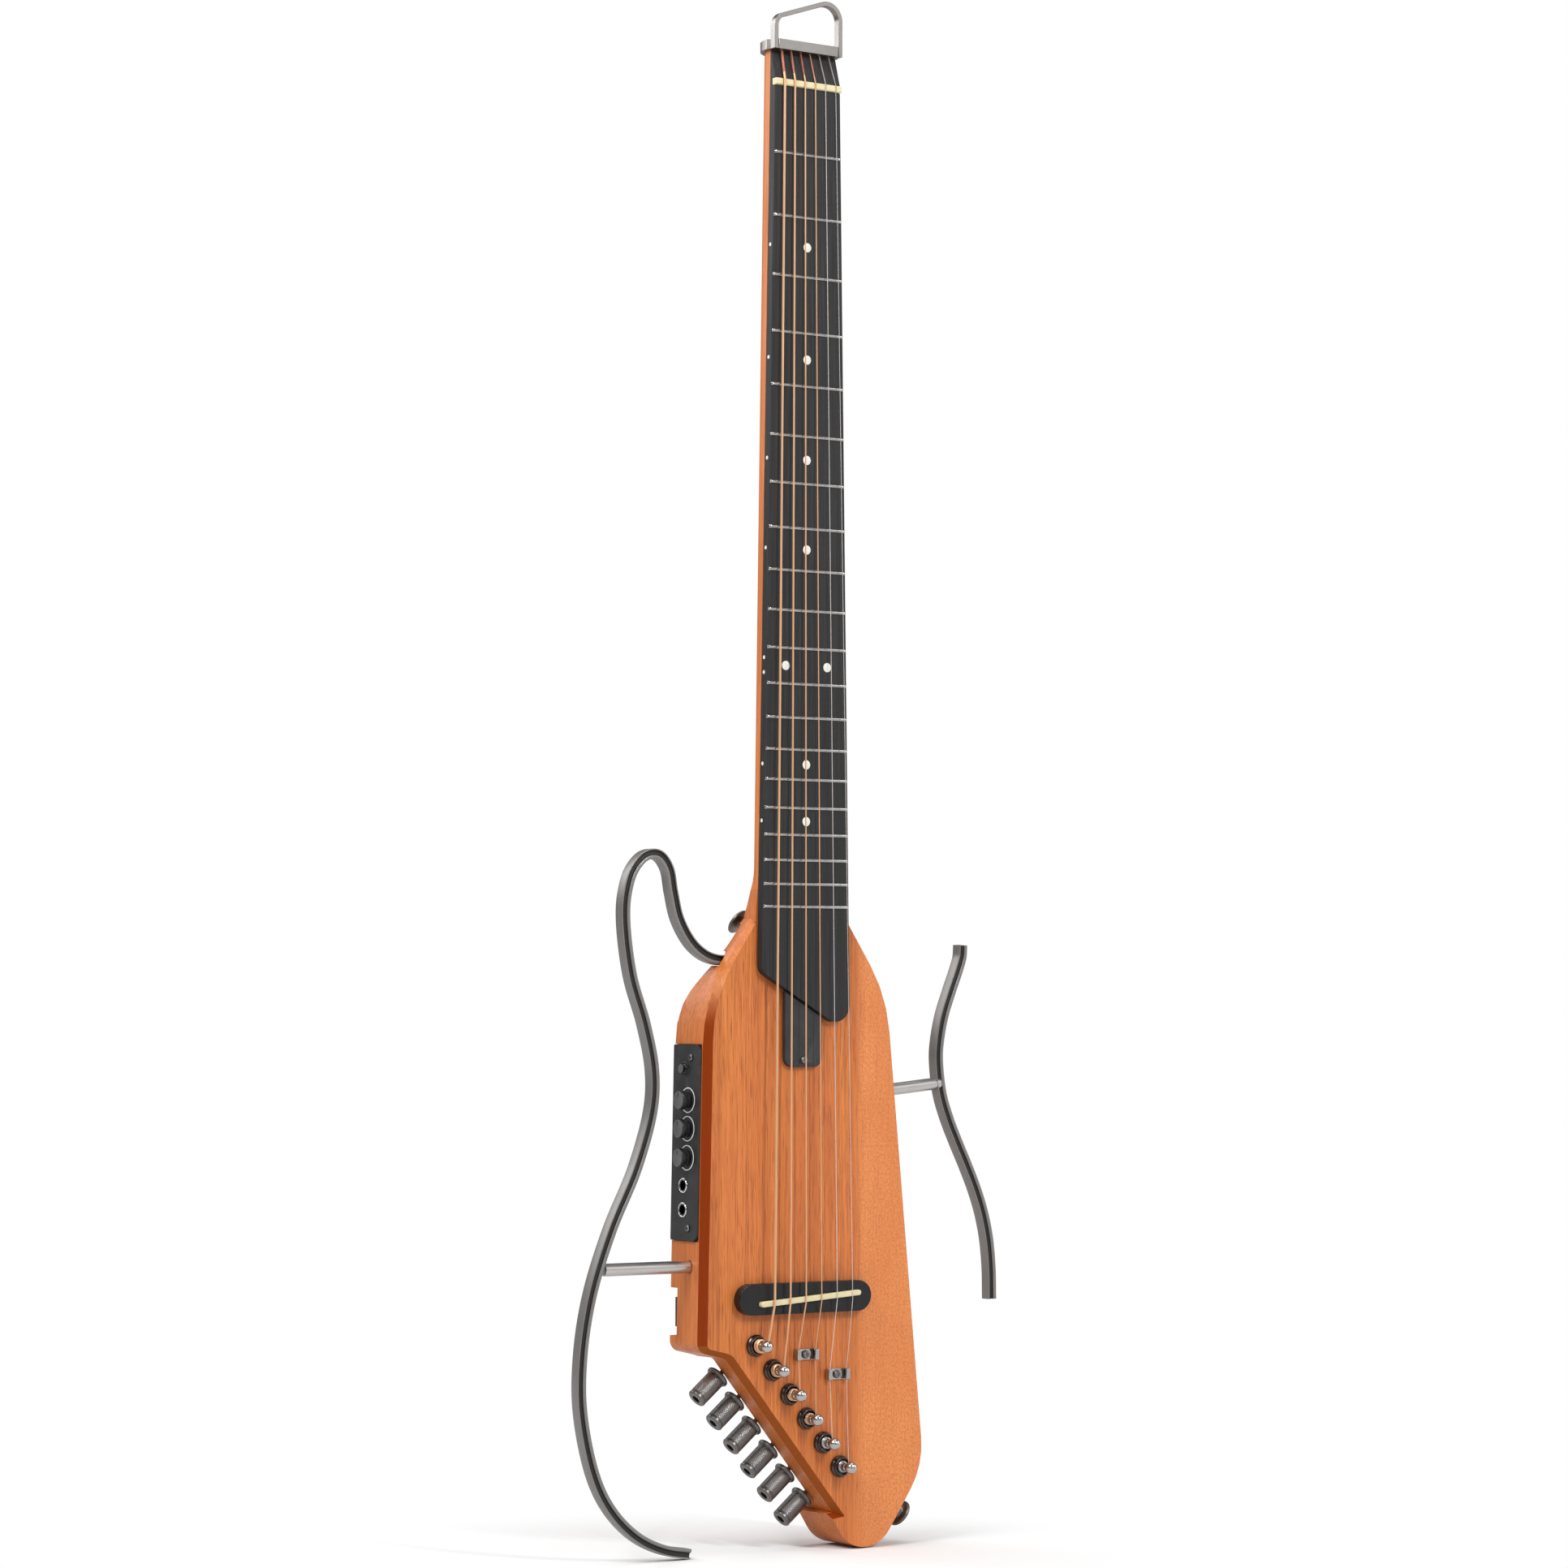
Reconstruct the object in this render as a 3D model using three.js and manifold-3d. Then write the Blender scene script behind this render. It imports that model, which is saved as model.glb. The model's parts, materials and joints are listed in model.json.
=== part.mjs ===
// Skeleton frame guitar: a slim wooden body and neck with two removable bent metal frames.
// Lengths are millimetres. X runs to the treble side, Y from the front to the back, Z up the neck.
// While the pieces are made, zero is the middle of the nut on the fretboard's face.
// The finished group is moved so that zero is the underside of the hanger loop.

import * as THREE from "three";
import { mergeVertices } from "three/addons/utils/BufferGeometryUtils.js";
import Module from "manifold-3d";

const wasm = await Module();
wasm.setup();

// Driving sizes: strings and neck
const scaleLength = 650;
const fretCount = 20;
const nutLength = 43;
const boardWidthAtLastFret = 56.3;
const boardThickness = 5;
const neckDepthAtNut = 15.9;
const neckDepthAtBody = 14.3;
const saddleSetback = 5.6;
const stringSpreadAtNut = 34;
const stringSpreadAtSaddle = 51.2;
const stringShiftAtNut = 0.7;
const stringShiftAtSaddle = 2.9;
const stringCount = 6;
const stringDiameters = [1.35, 1.07, 0.81, 0.61, 0.43, 0.33];

// Driving sizes: body
const bodyLength = 340;
const saddleShare = 0.59882;
const bodyHalfWidth = 82.4;
const bodyDepth = 31;
const heelFlare = 1.75;
const chamferSide = 3.7;
const chamferDiagonal = 2.7;
const chamferDepth = 4.3;
const shoulderRound = 80;
const hipRound = 42;
const tipRound = 20;
const cornerRound = 6;

// Driving sizes: tuners
const tunerInset = 16.9;
const firstTunerShare = 0.047;
const tunerPitchShare = 0.15682;
const tunerFloorDepth = 16.9;
const wormOffset = 6.8;
const wormHeight = 3.1;
const postRadius = 2.2;

// Driving sizes: frames
const leftFrameReach = 94.5;
const leftFrameHeight = 366;
const leftFrameRise = 31.3;
const rightFrameReach = 37;
const rightFrameHeight = 196.7;
const rightFrameDrop = 13;
const rightFrameWaist = 103.6;
const frameDepth = 6.8;
const frameWidth = 5.4;
const frameFront = 15.4;
const rodRadius = 3.4;

// Clearances
const fit = 0.25;
const seat = 0.3;
const shaftPlay = 0.3;
const overrun = 2;
const weld = 0.0005;

// Facets
const roundSides = 14;
const smallSides = 10;
const postSides = 12;
const stringSides = 6;
const loopSteps = 24;
const knobSides = 18;
const outlineStepDegrees = 9;
const boardStepDegrees = 12;
const coverStepDegrees = 15;
const saddleStepDegrees = 18;
const pickupStepDegrees = 30;

// Helpers: solids from geometry and back

function outward(geometry) {
  const bare = geometry.clone();
  bare.deleteAttribute("normal");
  bare.deleteAttribute("uv");
  const merged = mergeVertices(bare, weld);
  const at = merged.attributes.position;
  const index = merged.index.array;
  const kept = [];
  let volume = 0;
  const [a, b, c] = [new THREE.Vector3(), new THREE.Vector3(), new THREE.Vector3()];
  for (let i = 0; i < index.length; i += 3) {
    const [p, q, r] = [index[i], index[i + 1], index[i + 2]];
    if (p === q || q === r || r === p) continue;
    a.fromBufferAttribute(at, p);
    b.fromBufferAttribute(at, q);
    c.fromBufferAttribute(at, r);
    volume += a.dot(b.cross(c));
    kept.push(p, q, r);
  }
  if (volume < 0) kept.reverse();
  merged.setIndex(kept);
  return merged;
}

function solid(geometry) {
  const closed = outward(geometry);
  const mesh = new wasm.Mesh({
    numProp: 3,
    vertProperties: new Float32Array(closed.attributes.position.array),
    triVerts: new Uint32Array(closed.index.array),
  });
  return new wasm.Manifold(mesh);
}

function geometryOf(manifold) {
  const mesh = manifold.getMesh();
  const geometry = new THREE.BufferGeometry();
  geometry.setAttribute("position", new THREE.BufferAttribute(new Float32Array(mesh.vertProperties), 3));
  geometry.setIndex([...mesh.triVerts]);
  return geometry;
}

function join(first, ...others) {
  return others.reduce((whole, next) => whole.add(solid(next)), solid(first));
}

function cut(whole, cutters) {
  return cutters.reduce((rest, cutter) => rest.subtract(solid(cutter)), whole);
}

// Helpers: outlines with rounded corners

function lineMeet(p, d, q, e) {
  const cross = d.x * e.y - d.y * e.x;
  const t = ((q.x - p.x) * e.y - (q.y - p.y) * e.x) / cross;
  return new THREE.Vector2(p.x + d.x * t, p.y + d.y * t);
}

// Corners run clockwise as [x, z, radius]. Each edge moves inwards by its own distance.
function insetCorners(corners, distances) {
  const count = corners.length;
  const edges = corners.map(([x, z], i) => {
    const [nextX, nextZ] = corners[(i + 1) % count];
    const run = new THREE.Vector2(nextX - x, nextZ - z).normalize();
    const inwards = new THREE.Vector2(run.y, -run.x);
    const start = new THREE.Vector2(x, z).addScaledVector(inwards, distances[i]);
    return { start, run };
  });
  return corners.map(([, , radius], i) => {
    const before = edges[(i + count - 1) % count];
    const after = edges[i];
    const turn = before.run.x * after.run.y - before.run.y * after.run.x;
    const meet = lineMeet(before.start, before.run, after.start, after.run);
    const shrink = (distances[i] + distances[(i + count - 1) % count]) / 2;
    const inner = turn < 0 ? radius - shrink : radius + shrink;
    return [meet.x, meet.y, radius > 0 ? Math.max(inner, weld) : 0];
  });
}

function roundedOutline(corners, stepDegrees = outlineStepDegrees) {
  const points = [];
  const count = corners.length;
  corners.forEach(([x, z, radius], i) => {
    const here = new THREE.Vector2(x, z);
    if (!radius) {
      points.push(here);
      return;
    }
    const [px, pz] = corners[(i + count - 1) % count];
    const [nx, nz] = corners[(i + 1) % count];
    const into = new THREE.Vector2(x - px, z - pz).normalize();
    const out = new THREE.Vector2(nx - x, nz - z).normalize();
    const turn = Math.atan2(into.x * out.y - into.y * out.x, into.dot(out));
    const reach = radius * Math.tan(Math.abs(turn) / 2);
    const start = here.clone().addScaledVector(into, -reach);
    const side = Math.sign(turn);
    const centre = new THREE.Vector2(-into.y, into.x).multiplyScalar(side * radius).add(start);
    const steps = Math.max(2, Math.round(THREE.MathUtils.radToDeg(Math.abs(turn)) / stepDegrees));
    for (let k = 0; k <= steps; k += 1) {
      points.push(start.clone().rotateAround(centre, (turn * k) / steps));
    }
  });
  return points;
}

// Helpers: basic forms

function basis(u, v, w) {
  const [first, second, third] = [u, v, w].map((axis) => new THREE.Vector3(...axis));
  return new THREE.Matrix4().makeBasis(first, second, third);
}
const frontView = basis([1, 0, 0], [0, 0, 1], [0, -1, 0]);
const sideView = basis([0, 1, 0], [0, 0, 1], [1, 0, 0]);

function extruded(points, depth, curveSegments = roundSides) {
  const shape = new THREE.Shape(points.map((p) => (p.isVector2 ? p : new THREE.Vector2(...p))));
  return new THREE.ExtrudeGeometry(shape, { depth, bevelEnabled: false, curveSegments });
}

// A plate drawn from the front as [x, z] and filling front to back
function plate(points, front, back) {
  return extruded(points, back - front).applyMatrix4(frontView).translate(0, back, 0);
}

// A bar drawn from the side as [y, z] and filling left to right
function bar(points, left, right) {
  return extruded(points, right - left).applyMatrix4(sideView).translate(left, 0, 0);
}

function block(left, right, front, back, bottom, top) {
  const box = new THREE.BoxGeometry(right - left, back - front, top - bottom);
  return box.translate((left + right) / 2, (front + back) / 2, (bottom + top) / 2);
}

// A turned form with its profile as [radius, distance along the axis]
function turned(profile, origin, direction, sides = roundSides) {
  const lathe = new THREE.LatheGeometry(profile.map((p) => new THREE.Vector2(...p)), sides);
  const turn = new THREE.Quaternion().setFromUnitVectors(
    new THREE.Vector3(0, 1, 0),
    new THREE.Vector3(...direction).normalize(),
  );
  return lathe.applyQuaternion(turn).translate(...origin);
}

function peg(radius, from, to, origin, direction, sides = roundSides) {
  return turned([[0, from], [radius, from], [radius, to], [0, to]], origin, direction, sides);
}

// A skin over rings of points, with flat ends given as the ring's own plane outline
function loft(rings, outline) {
  const size = outline.length;
  const positions = rings.flat().flatMap((p) => [p.x, p.y, p.z]);
  const index = [];
  for (let i = 0; i + 1 < rings.length; i += 1) {
    for (let j = 0; j < size; j += 1) {
      const [a, b] = [i * size + j, i * size + ((j + 1) % size)];
      index.push(a, b, b + size, a, b + size, a + size);
    }
  }
  const winding = Math.sign(THREE.ShapeUtils.area(outline));
  const last = (rings.length - 1) * size;
  for (const [a, b, c] of THREE.ShapeUtils.triangulateShape(outline, [])) {
    const facing = Math.sign(THREE.ShapeUtils.area([outline[a], outline[b], outline[c]]));
    const [p, q, r] = facing === winding ? [a, b, c] : [a, c, b];
    index.push(p, r, q, last + p, last + q, last + r);
  }
  const geometry = new THREE.BufferGeometry();
  geometry.setAttribute("position", new THREE.Float32BufferAttribute(positions, 3));
  geometry.setIndex(index);
  return outward(geometry);
}

// One unbroken tube along points, with its own radius at each
function tube(points, radii) {
  const rings = [];
  const tangents = points.map((p, i) => {
    const before = points[Math.max(i - 1, 0)];
    const after = points[Math.min(i + 1, points.length - 1)];
    return after.clone().sub(before).normalize();
  });
  let across = new THREE.Vector3(1, 0, 0);
  points.forEach((p, i) => {
    across = across.clone().addScaledVector(tangents[i], -across.dot(tangents[i])).normalize();
    const other = tangents[i].clone().cross(across);
    const ring = [];
    for (let k = 0; k < stringSides; k += 1) {
      const angle = (2 * Math.PI * k) / stringSides;
      const spoke = across.clone().multiplyScalar(Math.cos(angle) * radii[i]);
      ring.push(spoke.addScaledVector(other, Math.sin(angle) * radii[i]).add(p));
    }
    rings.push(ring);
  });
  const outline = rings[0].map((p, k) => {
    const angle = (2 * Math.PI * k) / stringSides;
    return new THREE.Vector2(Math.cos(angle), Math.sin(angle));
  });
  return loft(rings, outline);
}

// Materials
const looks = {
  mahogany: [0xc2703d, 0.55, 0],
  blackwood: [0x2b2b2d, 0.6, 0],
  bone: [0xe9dfa9, 0.5, 0],
  blackPlastic: [0x343537, 0.55, 0],
  gunmetal: [0x5b5a5c, 0.35, 0.9],
  smokedChrome: [0x6a6a6c, 0.25, 1],
  silver: [0xb9b9bb, 0.3, 1],
  brushedAlloy: [0x9c9894, 0.4, 0.9],
  bronze: [0xd08a5a, 0.35, 1],
  steel: [0xc9c9cc, 0.25, 1],
  circuit: [0x1f5a38, 0.6, 0],
  cell: [0x9fa3a6, 0.45, 0.4],
};

const guitar = new THREE.Group();

function piece(name, form, look, parent = guitar) {
  const [color, roughness, metalness] = looks[look];
  const geometry = form.isBufferGeometry ? outward(form) : geometryOf(form);
  const material = new THREE.MeshStandardMaterial({ color, roughness, metalness });
  const mesh = new THREE.Mesh(geometry, material);
  mesh.name = name;
  parent.add(mesh);
  return mesh;
}

// Places that several pieces share

const bodyFront = boardThickness;
const bodyBack = bodyFront + bodyDepth;
const saddleZ = -(scaleLength + saddleSetback);
const bodyTop = saddleZ + bodyLength * saddleShare;
const fretZ = (n) => -(scaleLength - scaleLength / 2 ** (n / 12));
const lastFretZ = fretZ(fretCount);

function boardHalfWidth(z) {
  return nutLength / 2 + ((boardWidthAtLastFret - nutLength) / 2) * (z / lastFretZ);
}

// A string's place in the row, from -1/2 to 1/2
const rowShare = (number) => (number - 1) / (stringCount - 1) - 1 / 2;

function stringX(number, z) {
  const share = z / saddleZ;
  const spread = THREE.MathUtils.lerp(stringSpreadAtNut, stringSpreadAtSaddle, share);
  const shift = THREE.MathUtils.lerp(stringShiftAtNut, stringShiftAtSaddle, share);
  return shift + spread * rowShare(number);
}

// Body corners as [x share of the half width, z share of the length, rounding], clockwise
const heelX = boardHalfWidth(bodyTop) + heelFlare;
const bodyCornerShares = {
  shoulderRight: [0.695, 0.1206],
  hip: [1, 0.8753],
  tip: [0.516, 1.0471],
  ledgeOuter: [0.246, 0.9435],
  ledgeInner: [0.2985, 0.9418],
  diagonalTop: [-0.552, 0.69],
  cornerLeft: [-0.769, 0.6774],
  shoulderLeft: [-0.727, 0.13],
};
function bodyCorner(name, round) {
  const [xShare, zShare] = bodyCornerShares[name];
  return [xShare * bodyHalfWidth, bodyTop - zShare * bodyLength, round];
}
const bodyCorners = [
  [heelX, bodyTop, 0],
  bodyCorner("shoulderRight", shoulderRound),
  bodyCorner("hip", hipRound),
  bodyCorner("tip", tipRound),
  bodyCorner("ledgeOuter", 0),
  bodyCorner("ledgeInner", 0),
  bodyCorner("diagonalTop", cornerRound),
  bodyCorner("cornerLeft", cornerRound + fit),
  bodyCorner("shoulderLeft", shoulderRound),
  [-heelX, bodyTop, 0],
];
const diagonalStart = new THREE.Vector2(...bodyCorner("diagonalTop", 0).slice(0, 2));
const diagonalEnd = new THREE.Vector2(...bodyCorner("ledgeInner", 0).slice(0, 2));
const diagonalLength = diagonalEnd.distanceTo(diagonalStart);
const diagonalRun = diagonalEnd.clone().sub(diagonalStart).normalize();
const diagonalOut = new THREE.Vector2(diagonalRun.y, -diagonalRun.x);
const leftLow = new THREE.Vector2(...bodyCorner("cornerLeft", 0).slice(0, 2));
const leftHigh = new THREE.Vector2(...bodyCorner("shoulderLeft", 0).slice(0, 2));
const leftRun = leftHigh.clone().sub(leftLow).normalize();
const leftX = (z) => leftLow.x + (leftRun.x / leftRun.y) * (z - leftLow.y);
const rightHigh = new THREE.Vector2(...bodyCorner("shoulderRight", 0).slice(0, 2));
const rightLow = new THREE.Vector2(...bodyCorner("hip", 0).slice(0, 2));
const rightRun = rightLow.clone().sub(rightHigh).normalize();
const rightX = (z) => rightHigh.x + (rightRun.x / rightRun.y) * (z - rightHigh.y);

// Neck: wedge-backed sections that run into the heel
const neckTopZ = 24;
const seamBelowBody = 16;
const seamZ = bodyTop + seamBelowBody;
const neckFront = boardThickness;
const boardBack = boardThickness - fit;
const tongueHalfWidth = 20;
const tongueLength = 40;
const tongueDepth = 12;
const neckSquareShare = 2.5;
const heelSquareShare = 2.2;
const flareAboveBody = 27;
const heelDepthShares = [0, 0.04, 0.13, 0.3, 0.44, 0.59, 0.75, 0.9, 1];

function neckOutline(halfWidth, depth, sharpness, front) {
  const steps = 14;
  const points = [];
  for (let k = 0; k <= steps; k += 1) {
    const angle = (Math.PI * k) / steps;
    const [c, s] = [Math.cos(angle), Math.sin(angle)];
    const x = halfWidth * Math.sign(c) * Math.abs(c) ** (2 / sharpness);
    points.push(new THREE.Vector2(x, front + depth * Math.abs(s) ** (2 / sharpness)));
  }
  return points;
}

function neckRing(z, halfWidth, depth, sharpness, front) {
  return neckOutline(halfWidth, depth, sharpness, front).map((p) => new THREE.Vector3(p.x, p.y, z));
}

// Depth and width of the wood behind the fretboard at a height
function neckSection(z) {
  const flareZ = bodyTop + flareAboveBody;
  const plainShare = Math.min(Math.max(z / flareZ, 0), 1);
  const plain = THREE.MathUtils.lerp(neckDepthAtNut, neckDepthAtBody, plainShare);
  const down = THREE.MathUtils.clamp((flareZ - z) / (flareAboveBody + overrun), 0, 1);
  const place = down * (heelDepthShares.length - 1);
  const low = Math.min(Math.floor(place), heelDepthShares.length - 2);
  const share = THREE.MathUtils.lerp(heelDepthShares[low], heelDepthShares[low + 1], place - low);
  const depth = THREE.MathUtils.lerp(plain, bodyDepth, share);
  const sharpness = THREE.MathUtils.lerp(neckSquareShare, heelSquareShare, down ** 3);
  return { halfWidth: boardHalfWidth(z) + heelFlare * down ** 2, depth, sharpness };
}

function neckLoft(heights, front) {
  const rings = heights.map((z) => {
    const { halfWidth, depth, sharpness } = neckSection(z);
    return neckRing(z, halfWidth, depth - (front - boardThickness), sharpness, front);
  });
  return loft(rings, neckOutline(1, 1, neckSquareShare, 0));
}

// Neck with its truss rod groove and the hidden tongue that is let into the body
const rodGrooveHalf = 3.2;
const rodGrooveDepth = 9.5;
const rodTopZ = -4;
const nutOfRodRadius = 3;
const nutOfRodLength = 10;

function makeNeck() {
  const flareZ = bodyTop + flareAboveBody;
  const flareSteps = 3;
  const heights = [neckTopZ, 0, flareZ / 2, flareZ];
  for (let k = 1; k <= flareSteps; k += 1) {
    heights.push(THREE.MathUtils.lerp(flareZ, seamZ + fit, k / flareSteps));
  }
  const tongueBottom = seamZ - tongueLength;
  const tongue = block(
    -tongueHalfWidth, tongueHalfWidth, neckFront, neckFront + tongueDepth - fit, tongueBottom,
    seamZ + overrun,
  );
  const whole = join(neckLoft(heights, neckFront), tongue);
  const groove = block(
    -rodGrooveHalf, rodGrooveHalf, neckFront - overrun, neckFront + rodGrooveDepth,
    tongueBottom - overrun, rodTopZ,
  );
  piece("neck", cut(whole, [groove]), "mahogany");

  const rodHalf = rodGrooveHalf - fit;
  const rodBack = neckFront + rodGrooveDepth - fit;
  const rod = block(-rodHalf, rodHalf, neckFront + fit, rodBack, tongueBottom, rodTopZ - fit);
  const nutCentre = (neckFront + fit + rodBack) / 2;
  const nutPlace = [0, nutCentre, tongueBottom];
  const rodNut = peg(nutOfRodRadius, -overrun, nutOfRodLength, nutPlace, [0, 0, -1], smallSides);
  piece("truss_rod", join(rod, rodNut), "steel");
}

// Fretboard, nut and frets
const nutWidth = 3.6;
const nutProud = 1.5;
const nutSeat = 2.5;
const notchDepth = 0.6;
const wedgeStart = 0.4;
const collarBottom = 19.8;
const wedgeEndThickness = 0.45;
const fretWidth = 2.2;
const fretHeight = 0.9;
const fretSink = 0.3;
const boardEndBelowFret = 35.1;
const boardEndSlope = 30.2;
const boardLeftRound = 6;
const boardRightRound = 9;

const boardEndLeftZ = lastFretZ - boardEndBelowFret;
function boardEndZ(x) {
  const slope = Math.tan(THREE.MathUtils.degToRad(boardEndSlope));
  return boardEndLeftZ - slope * (x + boardHalfWidth(boardEndLeftZ));
}

function makeFretboard() {
  const top = collarBottom - fit;
  const farX = boardHalfWidth(boardEndZ(boardHalfWidth(boardEndLeftZ)));
  const corners = [
    [boardHalfWidth(top), top, 0],
    [farX, boardEndZ(farX), boardRightRound],
    [-boardHalfWidth(boardEndLeftZ), boardEndLeftZ, boardLeftRound],
    [-boardHalfWidth(top), top, 0],
  ];
  let board = solid(plate(roundedOutline(corners, boardStepDegrees), 0, boardBack));
  for (let n = 1; n <= fretCount; n += 1) {
    const z = fretZ(n);
    const reach = boardHalfWidth(z) - fit;
    const profile = [
      [fretSink, z - fretWidth / 2],
      [-fretHeight, z - fretWidth / 4],
      [-fretHeight, z + fretWidth / 4],
      [fretSink, z + fretWidth / 2],
    ];
    board = board.add(solid(bar(profile, -reach, reach)));
  }
  const wide = nutLength;
  const wedge = bar([
    [-overrun, nutWidth + wedgeStart],
    [-overrun, top + overrun],
    [boardBack - wedgeEndThickness, top + overrun],
    [boardBack - wedgeEndThickness, top],
    [0, nutWidth + wedgeStart],
  ], -wide, wide);
  const slot = block(-wide, wide, -overrun, nutSeat + seat, -fit, nutWidth + fit);
  piece("fretboard", cut(board, [wedge, slot]), "blackwood");
}

// Height of a string's middle over the nut and over the saddle
const saddleProud = 3.4;
const stringYAtNut = (radius) => -nutProud + notchDepth - seat - radius;
const stringYAtSaddle = (radius) => -saddleProud - seat - radius;

function makeNut() {
  const corner = 0.5;
  const profile = [
    [nutSeat, 0],
    [-nutProud + corner, 0],
    [-nutProud, corner],
    [-nutProud, nutWidth - corner],
    [-nutProud + corner, nutWidth],
    [nutSeat, nutWidth],
  ];
  const notches = stringDiameters.map((diameter, i) => {
    const x = stringX(i + 1, 0);
    const half = diameter / 2 + fit;
    const bottom = -nutProud + notchDepth;
    return block(x - half, x + half, -nutProud - overrun, bottom, -overrun, nutWidth + overrun);
  });
  piece("nut", cut(solid(bar(profile, -nutLength / 2, nutLength / 2)), notches), "bone");
}

// Head bracket: a collar round the neck's end with the hanger loop standing on it
const collarHeight = 5.4;
const collarWall = 2.3;
const collarBarFront = -1;
const loopDepth = 4.2;
const loopWidth = 2.5;
const loopHalfWidth = 22.4;
const loopLeftRise = 18.1;
const loopRightRise = 33.7;
const loopLeftRound = 7.7;
const loopRightRound = 10.2;
const barGap = 0.5;
const ballRadius = 1.9;
const ballLength = 3.4;
const stringHoleY = 2.1;
const stringSpreadAtCollar = 31;

function stringXAtCollar(number) {
  return -stringShiftAtNut / 2 + stringSpreadAtCollar * rowShare(number);
}

function loopCorners() {
  return [
    [loopHalfWidth, collarBottom, 0],
    [-loopHalfWidth, collarBottom, 0],
    [-loopHalfWidth, collarBottom + loopLeftRise, loopLeftRound],
    [loopHalfWidth, collarBottom + loopRightRise, loopRightRound],
  ];
}

function makeHeadBracket() {
  const top = collarBottom + collarHeight;
  const { halfWidth, depth } = neckSection(neckTopZ);
  const hole = neckOutline(halfWidth + fit, depth + 2 * fit, neckSquareShare, boardBack);
  const skin = neckOutline(halfWidth + collarWall, depth + collarWall, neckSquareShare, boardThickness);
  const frontHalf = loopHalfWidth - loopWidth - barGap;
  const front = [[-frontHalf, collarBarFront], [frontHalf, collarBarFront]];
  const ringBack = skin.map((p) => [p.x, p.y]);
  const collar = extruded([...front, ...ringBack], collarHeight).translate(0, 0, collarBottom);
  const neckHole = extruded([...hole], collarHeight + 2 * overrun).translate(0, 0, collarBottom - overrun);
  const outer = loopCorners();
  const inner = insetCorners(outer, [-overrun, loopWidth, loopWidth, loopWidth]);
  const loopBack = collarBarFront + loopDepth;
  const loop = solid(plate(roundedOutline(outer), collarBarFront, loopBack));
  const inside = plate(roundedOutline(inner), collarBarFront - overrun, loopBack + overrun);
  const feet = [-1, 1].map((side) => {
    const x = side * (loopHalfWidth - loopWidth / 2);
    const half = loopWidth / 2;
    return block(x - half, x + half, loopBack - overrun, boardThickness + overrun, collarBottom, top);
  });
  let bracket = cut(solid(collar), [neckHole]).add(cut(loop, [inside]));
  const link = loopHalfWidth - loopWidth - barGap;
  for (const foot of feet) bracket = bracket.add(solid(foot));
  const barHalf = link + loopWidth;
  const bridgeBar = block(-barHalf, barHalf, stringHoleY, loopBack + fit, collarBottom, top);
  bracket = bracket.add(solid(bridgeBar)).subtract(solid(neckHole));
  const holes = stringDiameters.flatMap((diameter, i) => {
    const at = [stringXAtCollar(i + 1), stringHoleY, collarBottom];
    const bore = diameter / 2 + fit;
    return [
      peg(bore, -overrun, collarHeight + overrun, at, [0, 0, 1], smallSides),
      peg(ballRadius + seat, collarHeight - ballLength, collarHeight + overrun, at, [0, 0, 1], smallSides),
    ];
  });
  piece("head_bracket", cut(bracket, holes), "brushedAlloy");
}

// Body with every pocket and hole that its pieces need
const heelSlotFront = 14;
const heelSlotEnd = -33.5;
const heelSlotHeight = 7.9;
const rodBoreDepth = 34;
const leftRodShare = 0.54618;
const rightRodShare = 0.40874;
const rodMiddleY = 18.8;

const leftFrameTop = bodyTop + leftFrameRise;
const leftFrameShares = [
  [0, 0.153], [0.132, 0.153], [0.226, 0.146], [0.326, 0.127], [0.419, 0.09], [0.463, 0.049],
  [0.491, 0.016], [0.541, 0.001], [0.603, 0.002], [0.673, 0.02], [0.714, 0.05], [0.725, 0.085],
  [0.68, 0.167], [0.587, 0.238], [0.529, 0.305], [0.535, 0.361], [0.638, 0.448], [0.81, 0.54],
  [0.938, 0.632], [0.995, 0.717], [0.994, 0.793], [0.905, 0.887], [0.796, 0.935], [0.637, 0.972],
  [0.466, 0.992], [0.302, 1],
];
const rightFrameTop = bodyTop - rightFrameDrop;
const rightFrameShares = [
  [0.454, 0], [0.441, 0.034], [0.381, 0.069], [0.23, 0.138], [0.095, 0.206], [0.016, 0.275],
  [0, 0.32], [0.062, 0.412], [0.189, 0.481], [0.362, 0.55], [0.549, 0.619], [0.722, 0.689],
  [0.854, 0.758], [0.941, 0.828], [0.989, 0.91], [1, 1],
];
const slotPlay = 0.5;
const slotFloorZ = leftFrameTop - leftFrameShares[0][1] * leftFrameHeight - slotPlay;

// Rods: each has a point on the body's side and a direction away from it
const leftRodZ = bodyTop - bodyLength * leftRodShare;
const leftRodBase = [leftX(leftRodZ), rodMiddleY, leftRodZ];
const leftRodAway = [-1, 0, 0];
const rightRodZ = rightFrameTop - rightFrameHeight * rightRodShare;
const rightRodBase = [rightX(rightRodZ), rodMiddleY, rightRodZ];
const rightRodAway = [-rightRun.y, 0, rightRun.x];

// Tuners: post places along the diagonal side
function tunerPost(index) {
  const along = diagonalLength * (firstTunerShare + index * tunerPitchShare);
  return diagonalStart.clone().addScaledVector(diagonalRun, along).addScaledVector(diagonalOut, -tunerInset);
}
function tunerPoint(index, along, out) {
  return tunerPost(index).addScaledVector(diagonalRun, along).addScaledVector(diagonalOut, out);
}
const tunerFloor = bodyFront + tunerFloorDepth;
const tunerPlateThickness = 0.8;
const wormY = tunerFloor + wormHeight;
const recessInner = 6.4;
const recessEnds = 5.4;
const recessCornerCut = 0.5;
const recessCornerInner = 2;
const ferruleRadius = 5.9;
const ferruleTop = 0.9;
const ferruleSleeve = 4.5;
const ferruleSleeveDepth = 6;
const dishRadius = 4.3;
const dishDepth = 1.7;

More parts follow.
